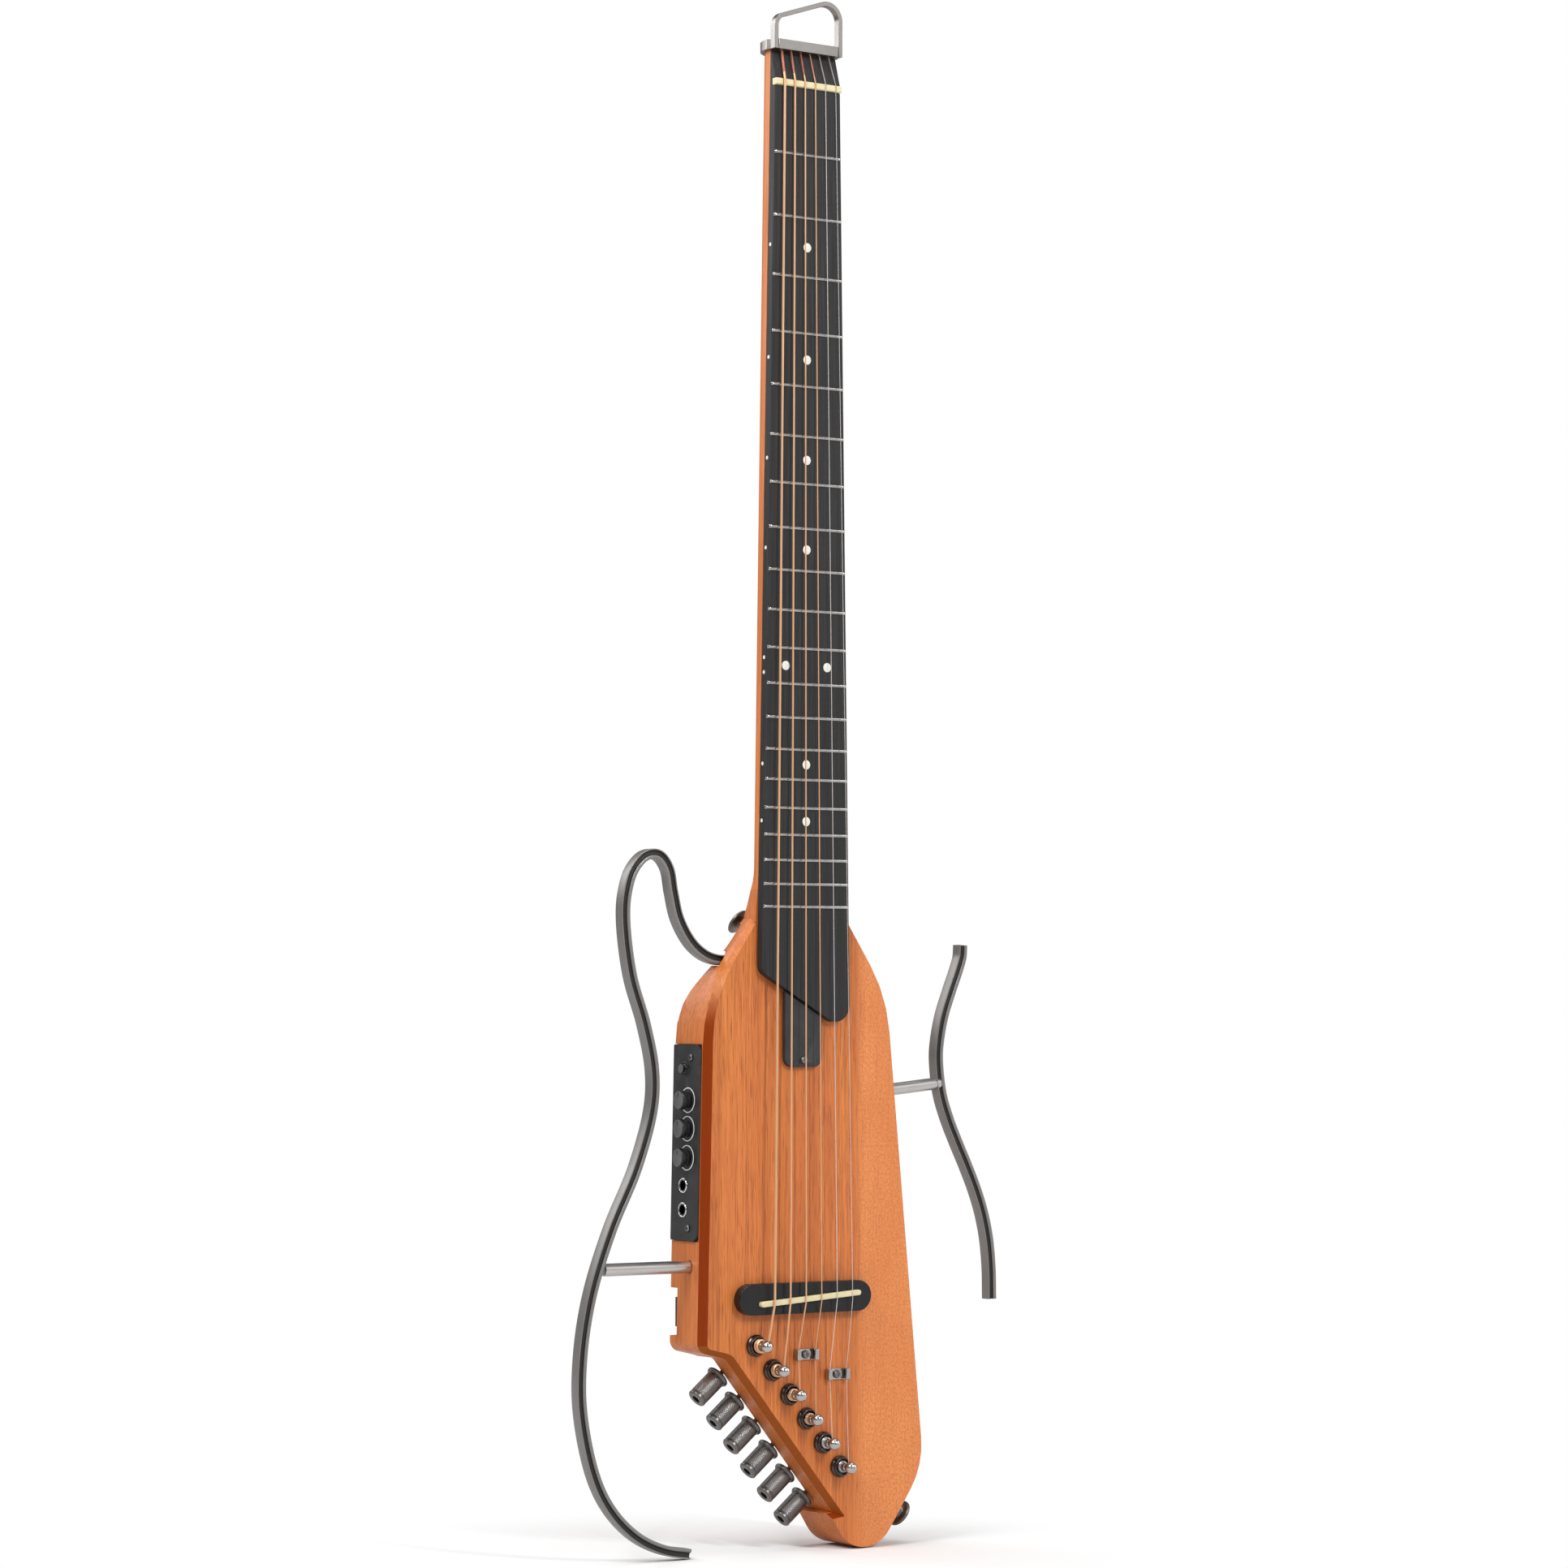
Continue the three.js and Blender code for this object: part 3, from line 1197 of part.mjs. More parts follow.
function makeTuners() {
  const plateFront = tunerFloor + fit;
  const plateBack = plateFront + tunerPlateThickness;
  const strip = recessOutline(fit, tunerInset - cornerRound / 2);
  const quarter = (v) => [v.x, 0, v.y];
  const out = quarter(diagonalOut);
  const knobFrame = basis(out, [0, 1, 0], [-out[2], 0, out[0]]);
  let carrier = solid(plate(strip, plateFront, plateBack));
  const bores = [];
  for (let i = 0; i < stringCount; i += 1) {
    const at = tunerPost(i);
    const worm = tunerPoint(i, wormOffset, 0);
    for (const place of [lugOutside, -lugInside]) {
      const [left, right] = [place - lugThickness / 2, place + lugThickness / 2];
      const lug = block(left, right, plateBack - fit, wormY + lugHalf, -lugHalf, lugHalf);
      lug.applyMatrix4(knobFrame.clone().setPosition(worm.x, 0, worm.y));
      carrier = carrier.add(solid(lug));
    }
    const [start, end] = [plateFront - overrun, plateBack + overrun];
    bores.push(peg(postRadius + fit, start, end, quarter(at), [0, 1, 0], postSides));
    const wormPlace = [worm.x, wormY, worm.y];
    bores.push(peg(wormShaft + shaftPlay, -tunerInset, tunerInset, wormPlace, out, smallSides));
  }
  piece("tuner_plate", cut(carrier, bores), "silver");

  for (let i = 0; i < stringCount; i += 1) {
    const at = tunerPost(i);
    const wheelFront = wormY - wheelHeight / 2;
    const wheelBack = wormY + wheelHeight / 2;
    const stub = wheelBack + stubLength;
    const ballCentre = ballTip + ballSize;
    const ball = ballDegrees.map((degrees) => {
      const angle = THREE.MathUtils.degToRad(degrees);
      return [ballSize * Math.cos(angle), ballCentre + ballSize * Math.sin(angle)];
    });
    const waist = ballCentre + ballSize;
    const profile = [
      [0, ballTip], ...ball, [neckOfPost, waist], [postRadius, waist + neckOfPost / 2],
      [postRadius, wheelFront], [wheelRadius, wheelFront], [wheelRadius, wheelBack],
      [postRadius, wheelBack], [postRadius, stub], [0, stub],
    ];
    piece(`tuner_post_${i + 1}`, turned(profile, [at.x, 0, at.y], [0, 1, 0], postSides), "smokedChrome");

    const worm = tunerPoint(i, wormOffset, 0);
    const wormHalf = wheelRadius - wormRadius / 2;
    const flange = tunerInset + flangeStart;
    const end = flange + flangeWidth + barrelLength;
    const rim = 0.5;
    const shaftEnd = lugInside + lugThickness / 2 + fit;
    const knob = [
      [0, -shaftEnd], [wormShaft, -shaftEnd], [wormShaft, -wormHalf], [wormRadius, -wormHalf],
      [wormRadius, wormHalf], [wormShaft, wormHalf], [wormShaft, flange], [flangeRadius, flange],
      [flangeRadius, flange + flangeWidth], [barrelRadius, flange + flangeWidth],
      [barrelRadius, end - rim], [barrelRadius - rim, end], [mouthRadius, end],
      [mouthRadius, end - mouthDepth], [0, end - mouthDepth],
    ];
    piece(`tuner_knob_${i + 1}`, turned(knob, [worm.x, wormY, worm.y], out), "smokedChrome");

    const sleeveEnd = bodyFront + ferruleSleeveDepth;
    const bore = postRadius + fit;
    const edgeCut = 0.9;
    const ring = [
      [bore, sleeveEnd], [ferruleSleeve, sleeveEnd], [ferruleSleeve, bodyFront - fit],
      [ferruleRadius, bodyFront - fit], [ferruleRadius, ferruleTop + edgeCut * 2],
      [ferruleRadius - edgeCut, ferruleTop], [dishRadius, ferruleTop], [dishRadius, ferruleTop + dishDepth],
      [bore, ferruleTop + dishDepth], [bore, sleeveEnd],
    ];
    piece(`tuner_ferrule_${i + 1}`, turned(ring, [at.x, 0, at.y], [0, 1, 0], postSides), "gunmetal");
  }
}

// Strings: ball end, straight run, tree where there is one, and the winding on the post
const windingLoops = [2.25, 2.25, 2.5, 2.5, 3, 3];
const windingSpace = 0.45;
const nextLoopShare = 0.6;
const ballStep = 0.05;

function leastGapToItself(points, radius, loop) {
  let least = Infinity;
  for (let i = 0; i < points.length; i += 1) {
    for (let j = i + Math.round(loop * nextLoopShare); j < points.length; j += 1) {
      least = Math.min(least, points[i].distanceTo(points[j]) - 2 * radius);
    }
  }
  return least;
}

function makeString(number) {
  const radius = stringDiameters[number - 1] / 2;
  const at = tunerPost(number - 1);
  const ballTop = collarBottom + collarHeight;
  const ballSeat = ballTop - ballLength + fit;
  const collarX = stringXAtCollar(number);
  const start = [
    new THREE.Vector3(collarX, stringHoleY, ballTop),
    new THREE.Vector3(collarX, stringHoleY, ballSeat),
    new THREE.Vector3(collarX, stringHoleY, ballSeat - ballStep),
    new THREE.Vector3(collarX, stringHoleY, collarBottom - fit),
  ];
  const path = [
    ...start,
    new THREE.Vector3(stringX(number, 0), stringYAtNut(radius), nutWidth),
    new THREE.Vector3(stringX(number, 0), stringYAtNut(radius), 0),
    new THREE.Vector3(stringX(number, saddleZ), stringYAtSaddle(radius), saddleZ + saddleWidth / 2),
    new THREE.Vector3(stringX(number, saddleZ), stringYAtSaddle(radius), saddleZ - saddleWidth / 2),
  ];
  if (number > 2) {
    const tree = number > 4 ? 1 : 0;
    const x = treeStringX(number);
    for (const side of [1, -1]) {
      path.push(new THREE.Vector3(x, treeStringY(radius), treeZ(tree) + (side * treeHeight) / 2));
    }
  }
  const previous = path[path.length - 1];
  const pitch = 2 * radius + windingSpace;
  const loops = windingLoops[number - 1];
  const lowest = ferruleTop + dishDepth - seat - radius;
  const highest = lowest - pitch * loops;
  const reach = postRadius + seat + radius;
  const away = Math.atan2(at.x + reach - previous.x, previous.z - at.y);
  const winding = [];
  const count = Math.round(loops * loopSteps);
  for (let k = 0; k <= count; k += 1) {
    const angle = away - (2 * Math.PI * k) / loopSteps;
    const y = highest + (pitch * k) / loopSteps;
    const place = new THREE.Vector3(Math.cos(angle) * reach, y, Math.sin(angle) * reach);
    winding.push(place.add(new THREE.Vector3(at.x, 0, at.y)));
  }
  const gap = leastGapToItself(winding, radius, loopSteps);
  console.log(`string_${number} winding: ${loops} loops, least gap to itself ${gap.toFixed(3)} mm`);
  const points = [...path, ...winding];
  const radii = points.map((p, i) => (i < 2 ? ballRadius : radius));
  piece(`string_${number}`, tube(points, radii), number < 5 ? "bronze" : "steel");
}

// Strap button and output jack
function makeFittings() {
  const baseRadius = 4.8;
  const waistRadius = 3.2;
  const rimRadius = 7.3;
  const baseHeight = 1.6;
  const waistHeight = 6.5;
  const rimHeight = 10;
  const faceRadius = 6.3;
  const profile = [
    [0, -buttonScrewDepth], [buttonScrewRadius, -buttonScrewDepth], [buttonScrewRadius, seat],
    [baseRadius, seat], [baseRadius, baseHeight], [waistRadius, (baseHeight + waistHeight) / 2],
    [waistRadius, waistHeight], [rimRadius, waistHeight + baseHeight],
    [rimRadius, rimHeight - baseHeight / 2], [faceRadius, rimHeight], [0, rimHeight],
  ];
  piece("strap_button", turned(profile, buttonSeat, buttonAway, roundSides), "smokedChrome");

  const bore = 3.2;
  const boreDepth = 30;
  const flange = 7.5;
  const flangeHeight = 2;
  const length = 12.5;
  const jackWaist = 4.8;
  const shoulderHeight = 5;
  const waistHigh = 6.25;
  const flare = 1;
  const jack = [
    [0, -jackDepth], [jackBarrelRadius, -jackDepth], [jackBarrelRadius, shoulderHeight],
    [jackWaist, waistHigh], [jackWaist, length - flangeHeight - flare], [flange, length - flangeHeight],
    [flange, length], [bore, length], [bore, length - boreDepth], [0, length - boreDepth],
  ];
  piece("end_pin_jack", turned(jack, jackSeat, jackAway), "smokedChrome");
}

// Frames: a grooved bar swept along its bend
const innerRimWidth = 1.3;
const outerRimWidth = 0.5;
const grooveDepth = 1.6;
const leftSteps = 62;
const rightSteps = 26;
const bendShare = 0.6;
const samplesPerRing = 8;

function frameSection() {
  const grooveStart = innerRimWidth;
  const grooveEnd = frameWidth - outerRimWidth;
  return [
    [0, 0], [grooveStart, 0], [grooveStart + fit, grooveDepth], [grooveEnd - fit, grooveDepth],
    [grooveEnd, 0], [frameWidth, 0], [frameWidth, frameDepth], [0, frameDepth],
  ].map((corner) => new THREE.Vector2(...corner));
}

// Places along a curve, closer together where it bends
function ringPlaces(curve, steps) {
  const samples = steps * samplesPerRing;
  const tangents = [];
  for (let i = 0; i <= samples; i += 1) tangents.push(curve.getTangentAt(i / samples));
  const turns = tangents.slice(1).map((tangent, i) => tangent.angleTo(tangents[i]));
  const whole = turns.reduce((sum, turn) => sum + turn, 0);
  const places = [0];
  let done = 0;
  turns.forEach((turn, i) => {
    const step = (1 - bendShare) / samples + (bendShare * turn) / whole;
    while (places.length < steps && done + step >= places.length / steps) {
      const inside = (places.length / steps - done) / step;
      places.push((i + inside) / samples);
    }
    done += step;
  });
  return [...places, 1];
}

function sweptFrame(curve, steps) {
  const section = frameSection();
  const rings = ringPlaces(curve, steps).map((place) => {
    const point = curve.getPointAt(place);
    const tangent = curve.getTangentAt(place);
    const across = new THREE.Vector3(tangent.z, 0, -tangent.x);
    return section.map((s) => point.clone().addScaledVector(across, s.x).setY(frameFront + s.y));
  });
  return loft(rings, section);
}

// The curve's crossing with a height on its way down, searched from a share of its length
function crossing(curve, z, from) {
  let [low, high] = [from, 1];
  while (high - low > weld) {
    const middle = (low + high) / 2;
    if (curve.getPointAt(middle).z > z) low = middle;
    else high = middle;
  }
  return curve.getPointAt(low).x;
}

function makeFrames() {
  const bend = (points) => new THREE.CatmullRomCurve3(points, false, "centripetal");
  const leftCurve = bend(leftFrameShares.map(([across, down]) => new THREE.Vector3(
    heelSlotEnd - fit - across * leftFrameReach, 0, leftFrameTop - down * leftFrameHeight,
  )));
  piece("left_frame", sweptFrame(leftCurve, leftSteps), "gunmetal");

  const rightCurve = bend(rightFrameShares.map(([across, down]) => new THREE.Vector3(
    rightFrameWaist + across * rightFrameReach, 0, rightFrameTop - down * rightFrameHeight,
  )));
  const rightEdge = crossing(rightCurve, rightRodZ, 0);
  const rightLength = rightEdge - rightRodBase[0] - frameWidth / 2;
  const socket = peg(rodRadius + fit, 0, rightLength + fit, rightRodBase, rightRodAway);
  piece("right_frame", cut(solid(sweptFrame(rightCurve, rightSteps)), [socket]), "gunmetal");
  const rodStart = -rodBoreDepth + seat;
  piece("right_rod", peg(rodRadius, rodStart, rightLength, rightRodBase, rightRodAway), "gunmetal");

  const lowerHalfShare = 0.5;
  const leftEdges = [-1, 0, 1].map(
    (side) => crossing(leftCurve, leftRodZ + side * rodRadius, lowerHalfShare),
  );
  const leftLength = leftRodBase[0] - Math.max(...leftEdges) - fit;
  piece("left_rod", peg(rodRadius, rodStart, leftLength, leftRodBase, leftRodAway), "gunmetal");
}

makeNeck();
makeFretboard();
makeNut();
makeHeadBracket();
makeBody();
makeBridge();
makeCover();
makeControls();
makeBattery();
makeTrees();
makeTuners();
stringDiameters.forEach((diameter, i) => makeString(i + 1));
makeFittings();
makeFrames();

// Zero is the highest point of the hanger loop's underside, where the guitar hangs
const loopSlope = (loopRightRise - loopLeftRise) / (2 * loopHalfWidth);
const hangX = loopHalfWidth - loopRightRound;
const loopLine = collarBottom + loopLeftRise + loopSlope * (hangX + loopHalfWidth);
const hangZ = loopLine - loopRightRound * Math.hypot(1, loopSlope) + loopRightRound - loopWidth;
const hangY = collarBarFront + loopDepth / 2;
guitar.position.set(-hangX, -hangY, -hangZ);
guitar.updateMatrixWorld(true);

export default guitar;
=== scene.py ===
"""The looks of the skeleton frame guitar: finer pieces, their finishes, and a plain studio."""

import json
import math

import bmesh
import bpy
from mathutils import Matrix, Vector

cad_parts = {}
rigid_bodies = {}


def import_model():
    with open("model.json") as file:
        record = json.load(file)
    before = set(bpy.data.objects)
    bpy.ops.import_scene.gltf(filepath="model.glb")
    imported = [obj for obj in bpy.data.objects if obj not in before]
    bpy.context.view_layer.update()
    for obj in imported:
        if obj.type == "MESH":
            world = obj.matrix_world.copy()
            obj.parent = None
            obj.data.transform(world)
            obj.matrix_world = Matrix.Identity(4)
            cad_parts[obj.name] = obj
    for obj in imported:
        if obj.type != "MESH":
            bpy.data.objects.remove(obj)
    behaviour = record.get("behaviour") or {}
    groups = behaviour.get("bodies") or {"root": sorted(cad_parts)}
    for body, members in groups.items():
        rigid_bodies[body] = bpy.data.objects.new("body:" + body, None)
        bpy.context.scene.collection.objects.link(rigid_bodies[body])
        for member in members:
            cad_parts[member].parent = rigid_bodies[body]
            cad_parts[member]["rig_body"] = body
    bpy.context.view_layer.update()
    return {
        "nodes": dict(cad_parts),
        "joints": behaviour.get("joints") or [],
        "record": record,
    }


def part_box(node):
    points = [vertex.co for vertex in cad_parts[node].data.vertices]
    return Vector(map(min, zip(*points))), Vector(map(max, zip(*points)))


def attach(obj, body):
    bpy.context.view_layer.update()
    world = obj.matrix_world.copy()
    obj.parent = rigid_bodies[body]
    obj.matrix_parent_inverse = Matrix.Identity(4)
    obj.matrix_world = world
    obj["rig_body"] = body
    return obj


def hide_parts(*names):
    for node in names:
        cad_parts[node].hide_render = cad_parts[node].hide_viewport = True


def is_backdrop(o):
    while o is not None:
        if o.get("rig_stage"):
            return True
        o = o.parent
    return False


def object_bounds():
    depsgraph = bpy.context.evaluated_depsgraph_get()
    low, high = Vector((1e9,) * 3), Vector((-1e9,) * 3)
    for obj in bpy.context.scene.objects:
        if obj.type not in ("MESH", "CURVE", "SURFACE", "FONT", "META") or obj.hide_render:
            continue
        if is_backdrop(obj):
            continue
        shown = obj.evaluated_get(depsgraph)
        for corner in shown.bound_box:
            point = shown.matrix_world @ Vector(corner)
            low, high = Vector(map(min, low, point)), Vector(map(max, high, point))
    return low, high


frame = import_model()
NODES = frame["nodes"]
JOINTS = {joint["name"]: joint for joint in frame["joints"]}
SLOT_OF = {row["node"]: row["material_slot"] for row in frame["record"]["subparts"]}

MM = 0.001
NUT = Vector((-12.2, -1.1, -46.84751)) * MM  # the nut's middle on the fretboard's face
SCALE_LENGTH = 650
FRET_COUNT = 20
NUT_LENGTH = 43
BOARD_WIDTH_AT_LAST_FRET = 56.3
BOARD_THICKNESS = 5
BODY_TOP = -452
JOINT_DROP = -436  # where the neck meets the body's heel


def at(x, y, z):
    """A place in millimetres from the nut's middle, as a place in the frame."""
    return NUT + Vector((x, y, z)) * MM


def body_with(node):
    return NODES[node]["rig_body"]


# Materials


def srgb(red, green, blue):
    """A colour as a screen shows it, 0 to 255, in the renderer's linear values."""
    parts = [v / 255 for v in (red, green, blue)]
    return (*[p / 12.92 if p <= 0.04045 else ((p + 0.055) / 1.055) ** 2.4 for p in parts], 1)


class Shader:
    """A node material under construction, on the object's own coordinates."""

    def __init__(self, name):
        self.material = bpy.data.materials.new(name)
        self.material.use_nodes = True
        self.tree = self.material.node_tree
        self.tree.nodes.clear()
        output = self.tree.nodes.new("ShaderNodeOutputMaterial")
        self.surface = self.tree.nodes.new("ShaderNodeBsdfPrincipled")
        self.tree.links.new(self.surface.outputs["BSDF"], output.inputs["Surface"])
        self.place = self.node("TexCoord").outputs["Object"]
        self.axes = self.node("SeparateXYZ", {"Vector": self.place}).outputs

    def node(self, kind, inputs=None, **settings):
        made = self.tree.nodes.new("ShaderNode" + kind)
        for key, value in settings.items():
            setattr(made, key, value)
        for key, value in (inputs or {}).items():
            self.feed(made.inputs[key], value)
        return made

    def feed(self, socket, value):
        if isinstance(value, bpy.types.NodeSocket):
            self.tree.links.new(value, socket)
        else:
            socket.default_value = value

    def set(self, **values):
        for key, value in values.items():
            self.feed(self.surface.inputs[key.replace("_", " ")], value)

    def noise(self, stretch, detail=3, roughness=0.55):
        """Noise with its own number of cells per metre along each axis."""
        mapped = self.node("Mapping", {"Vector": self.place, "Scale": stretch})
        made = self.node(
            "TexNoise",
            {"Vector": mapped.outputs["Vector"], "Scale": 1.0, "Detail": detail, "Roughness": roughness},
        )
        return made.outputs["Fac"]

    def spread(self, value, low, high, start=0.0, end=1.0):
        """value from low..high as start..end, eased at both ends."""
        made = self.node(
            "MapRange",
            {"Value": value, "From Min": low, "From Max": high, "To Min": start, "To Max": end},
            interpolation_type="SMOOTHSTEP",
        )
        return made.outputs["Result"]

    def sum(self, operation, first, second):
        return self.node("Math", {0: first, 1: second}, operation=operation).outputs[0]

    def mix(self, share, first, second):
        made = self.node("Mix", data_type="RGBA")
        self.feed(made.inputs[0], share)
        self.feed(made.inputs[6], first)
        self.feed(made.inputs[7], second)
        return made.outputs[2]

    def bump(self, height, depth, strength=1.0):
        made = self.node("Bump", {"Height": height, "Distance": depth * MM, "Strength": strength})
        self.feed(self.surface.inputs["Normal"], made.outputs["Normal"])


SEAM_X = NUT.x + 39 * MM  # where the treble side's board starts
CHAMFER_BACK = NUT.y + 9.5 * MM
CHAMFER_SHADE_FADE = (60, 32)  # below the body's top, from the full painted shade to none


def mahogany(name, light, dark, edged=False):
    """Open-grained wood: long fibres, slow bands and short dark pores, all running up the neck."""
    wood = Shader(name)
    # A slight sway of the grain from side to side
    sway = wood.sum("MULTIPLY", wood.sum("SUBTRACT", wood.noise((14, 14, 6), 2), 0.5), 5 * MM)
    swayed = wood.node("CombineXYZ", {"X": sway}).outputs["Vector"]
    plain = wood.place
    wood.place = wood.node("VectorMath", {0: plain, 1: swayed}, operation="ADD").outputs["Vector"]
    bands = wood.spread(wood.noise((85, 50, 2.2), 3), 0.4, 0.62)
    yellow = wood.spread(wood.noise((60, 40, 5), 3), 0.42, 0.66)
    fibres = wood.spread(wood.noise((1200, 600, 18), 5), 0.37, 0.64)
    pores = wood.spread(wood.noise((2100, 1100, 60), 2), 0.56, 0.66)
    streaks = wood.spread(wood.noise((380, 200, 5), 3), 0.57, 0.68)
    colour = wood.mix(wood.sum("MULTIPLY", yellow, 0.45), light, srgb(212, 130, 56))
    colour = wood.mix(wood.sum("MULTIPLY", bands, 0.32), colour, dark)
    colour = wood.mix(wood.sum("MULTIPLY", fibres, 0.42), colour, dark)
    normal = wood.node("NewGeometry").outputs["Normal"]
    forwards = wood.sum("MULTIPLY", wood.node("SeparateXYZ", {"Vector": normal}).outputs["Y"], -1.0)
    pores = wood.sum("MULTIPLY", pores, wood.spread(forwards, 0.3, 0.9, 0.25, 1.0))
    streaks = wood.sum("MULTIPLY", streaks, wood.spread(forwards, 0.3, 0.9, 0.4, 1.0))
    deep = srgb(104, 44, 16)
    shine = 0.4
    if edged:
        # The treble side is another board with a mottled figure
        other = wood.spread(wood.axes["X"], SEAM_X - 5 * MM, SEAM_X + 5 * MM)
        mottle = wood.spread(wood.noise((900, 500, 660), 4, 0.75), 0.42, 0.6)
        cloud = wood.spread(wood.noise((30, 20, 16), 2), 0.35, 0.65)
        blotched = wood.mix(wood.sum("MULTIPLY", mottle, 0.5), srgb(226, 142, 82), srgb(168, 82, 34))
        blotched = wood.mix(wood.sum("MULTIPLY", cloud, 0.3), blotched, srgb(196, 106, 50))
        colour = wood.mix(wood.sum("MULTIPLY", other, 0.85), colour, blotched)
        straight = wood.sum("SUBTRACT", 1.0, wood.sum("MULTIPLY", other, 0.75))
        pores = wood.sum("MULTIPLY", pores, straight)
        streaks = wood.sum("MULTIPLY", streaks, straight)
    colour = wood.mix(wood.sum("MULTIPLY", streaks, 0.25), colour, deep)
    colour = wood.mix(wood.sum("MULTIPLY", pores, 0.5), colour, deep)
    if edged:
        # Painted shade on the chamfer: faces that look half forwards, near the front, darkened and given
        # little shine
        slanted = wood.sum(
            "MULTIPLY", wood.spread(forwards, 0.2, 0.45), wood.spread(forwards, 0.8, 0.96, 1.0, 0.0)
        )
        near = wood.spread(wood.axes["Y"], CHAMFER_BACK, CHAMFER_BACK + MM, 1.0, 0.0)
        fade_low, fade_high = (NUT.z + (BODY_TOP - drop) * MM for drop in CHAMFER_SHADE_FADE)
        low = wood.spread(wood.axes["Z"], fade_low, fade_high, 1.0, 0.0)
        chamfer_shade = wood.sum("MULTIPLY", wood.sum("MULTIPLY", slanted, near), low)
        downwards = wood.sum("MULTIPLY", wood.node("SeparateXYZ", {"Vector": normal}).outputs["Z"], -1.0)
        # The painted shade is red-brown, a lighter brown where the chamfer faces down
        tint = wood.mix(wood.spread(downwards, 0.1, 0.4), srgb(126, 44, 5), srgb(150, 76, 26))
        colour = wood.mix(wood.sum("MULTIPLY", chamfer_shade, 0.95), colour, tint)
        shine = wood.spread(chamfer_shade, 0.0, 1.0, shine, 0.08)
    wood.set(
        Base_Color=colour,
        Roughness=wood.spread(wood.noise((240, 160, 30), 3), 0.3, 0.7, 0.34, 0.48),
        Specular_IOR_Level=shine,
    )
    wood.bump(wood.sum("ADD", fibres, wood.sum("MULTIPLY", pores, -1.6)), 0.05, 0.7)
    return wood.material


def dark_wood(name, colour, lighter, roughness, shine=0.3):
    """Black wood with faint grey fibres."""
    wood = Shader(name)
    fibres = wood.spread(wood.noise((1300, 700, 24), 4), 0.3, 0.72)
    patches = wood.spread(wood.noise((40, 30, 6), 2), 0.3, 0.7)
    tone = wood.mix(wood.sum("MULTIPLY", fibres, 0.6), colour, lighter)
    wood.set(
        Base_Color=tone,
        Roughness=wood.spread(patches, 0.0, 1.0, roughness - 0.05, roughness + 0.07),
        Specular_IOR_Level=shine,
    )
    wood.bump(fibres, 0.03, 0.6)
    return wood.material


def metal(name, colour, roughness, wear=0.08, brushed=(2200, 2200, 2200), bump=0.001, metallic=1.0):
    """Metal with a slight cloudiness, fine brushing and faint handling marks."""
    made = Shader(name)
    clouds = made.noise((30, 30, 30), 3)
    brushing = made.noise(brushed, 2)
    rubbed = made.spread(made.noise((60, 60, 60), 3), 0.5, 0.7)
    dulled = [c * 0.82 for c in colour[:3]] + [1]
    made.set(
        Base_Color=made.mix(made.sum("MULTIPLY", rubbed, 0.2), colour, dulled),
        Metallic=metallic,
        Roughness=made.sum(
            "ADD",
            made.spread(clouds, 0.3, 0.7, roughness - wear / 2, roughness + wear / 2),
            made.spread(brushing, 0.3, 0.7, -wear / 3, wear / 3),
        ),
    )
    made.bump(brushing, bump, 0.5)
    return made.material


def plastic(name, colour, roughness, grain=0.02, shine=0.35):
    """Moulded plastic with a fine spark-eroded grain and handling marks."""
    made = Shader(name)
    speckle = made.noise((2600, 2600, 2600), 2)
    marks = made.spread(made.noise((120, 120, 120), 3), 0.35, 0.7)
    lighter = [min(1.0, c * 1.5 + 0.006) for c in colour[:3]] + [1]
    made.set(
        Base_Color=made.mix(made.sum("MULTIPLY", marks, 0.3), colour, lighter),
        Roughness=made.spread(marks, 0.0, 1.0, roughness, roughness + 0.1),
        Specular_IOR_Level=shine,
    )
    made.bump(speckle, grain, 0.5)
    return made.material


def wound(name, colour, roughness):
    """A wire wound round a core: fine turns across the string's length."""
    made = Shader(name)
    pitch = 0.35 * math.pi * MM
    turns = made.node(
        "TexWave",
        {"Vector": made.place, "Scale": 2 * math.pi / (20 * pitch), "Distortion": 0.4},
        bands_direction="Z",
    ).outputs["Fac"]
    tarnish = made.spread(made.noise((140, 140, 12), 3), 0.35, 0.7)
    darker = [c * 0.72 for c in colour[:3]] + [1]
    made.set(
        Base_Color=made.mix(made.sum("MULTIPLY", tarnish, 0.4), colour, darker),
        Metallic=0.55,
        Roughness=made.spread(tarnish, 0.0, 1.0, roughness, roughness + 0.12),
    )
    made.bump(turns, 0.05, 0.5)
    return made.material


def polished(name, colour, roughness):
    """Bone-like material: cream with faint veins under a soft polish."""
    made = Shader(name)
    veins = made.spread(made.noise((180, 60, 60), 4), 0.3, 0.7)
    yellow = [colour[0] * 0.93, colour[1] * 0.88, colour[2] * 0.72, 1]
    made.set(
        Base_Color=made.mix(made.sum("MULTIPLY", veins, 0.5), colour, yellow),
        Roughness=made.spread(veins, 0.0, 1.0, roughness, roughness + 0.12),
        Subsurface_Weight=0.08,
        Subsurface_Radius=(1.5 * MM, 1.0 * MM, 0.6 * MM),
    )
    made.bump(veins, 0.02, 0.4)
    return made.material


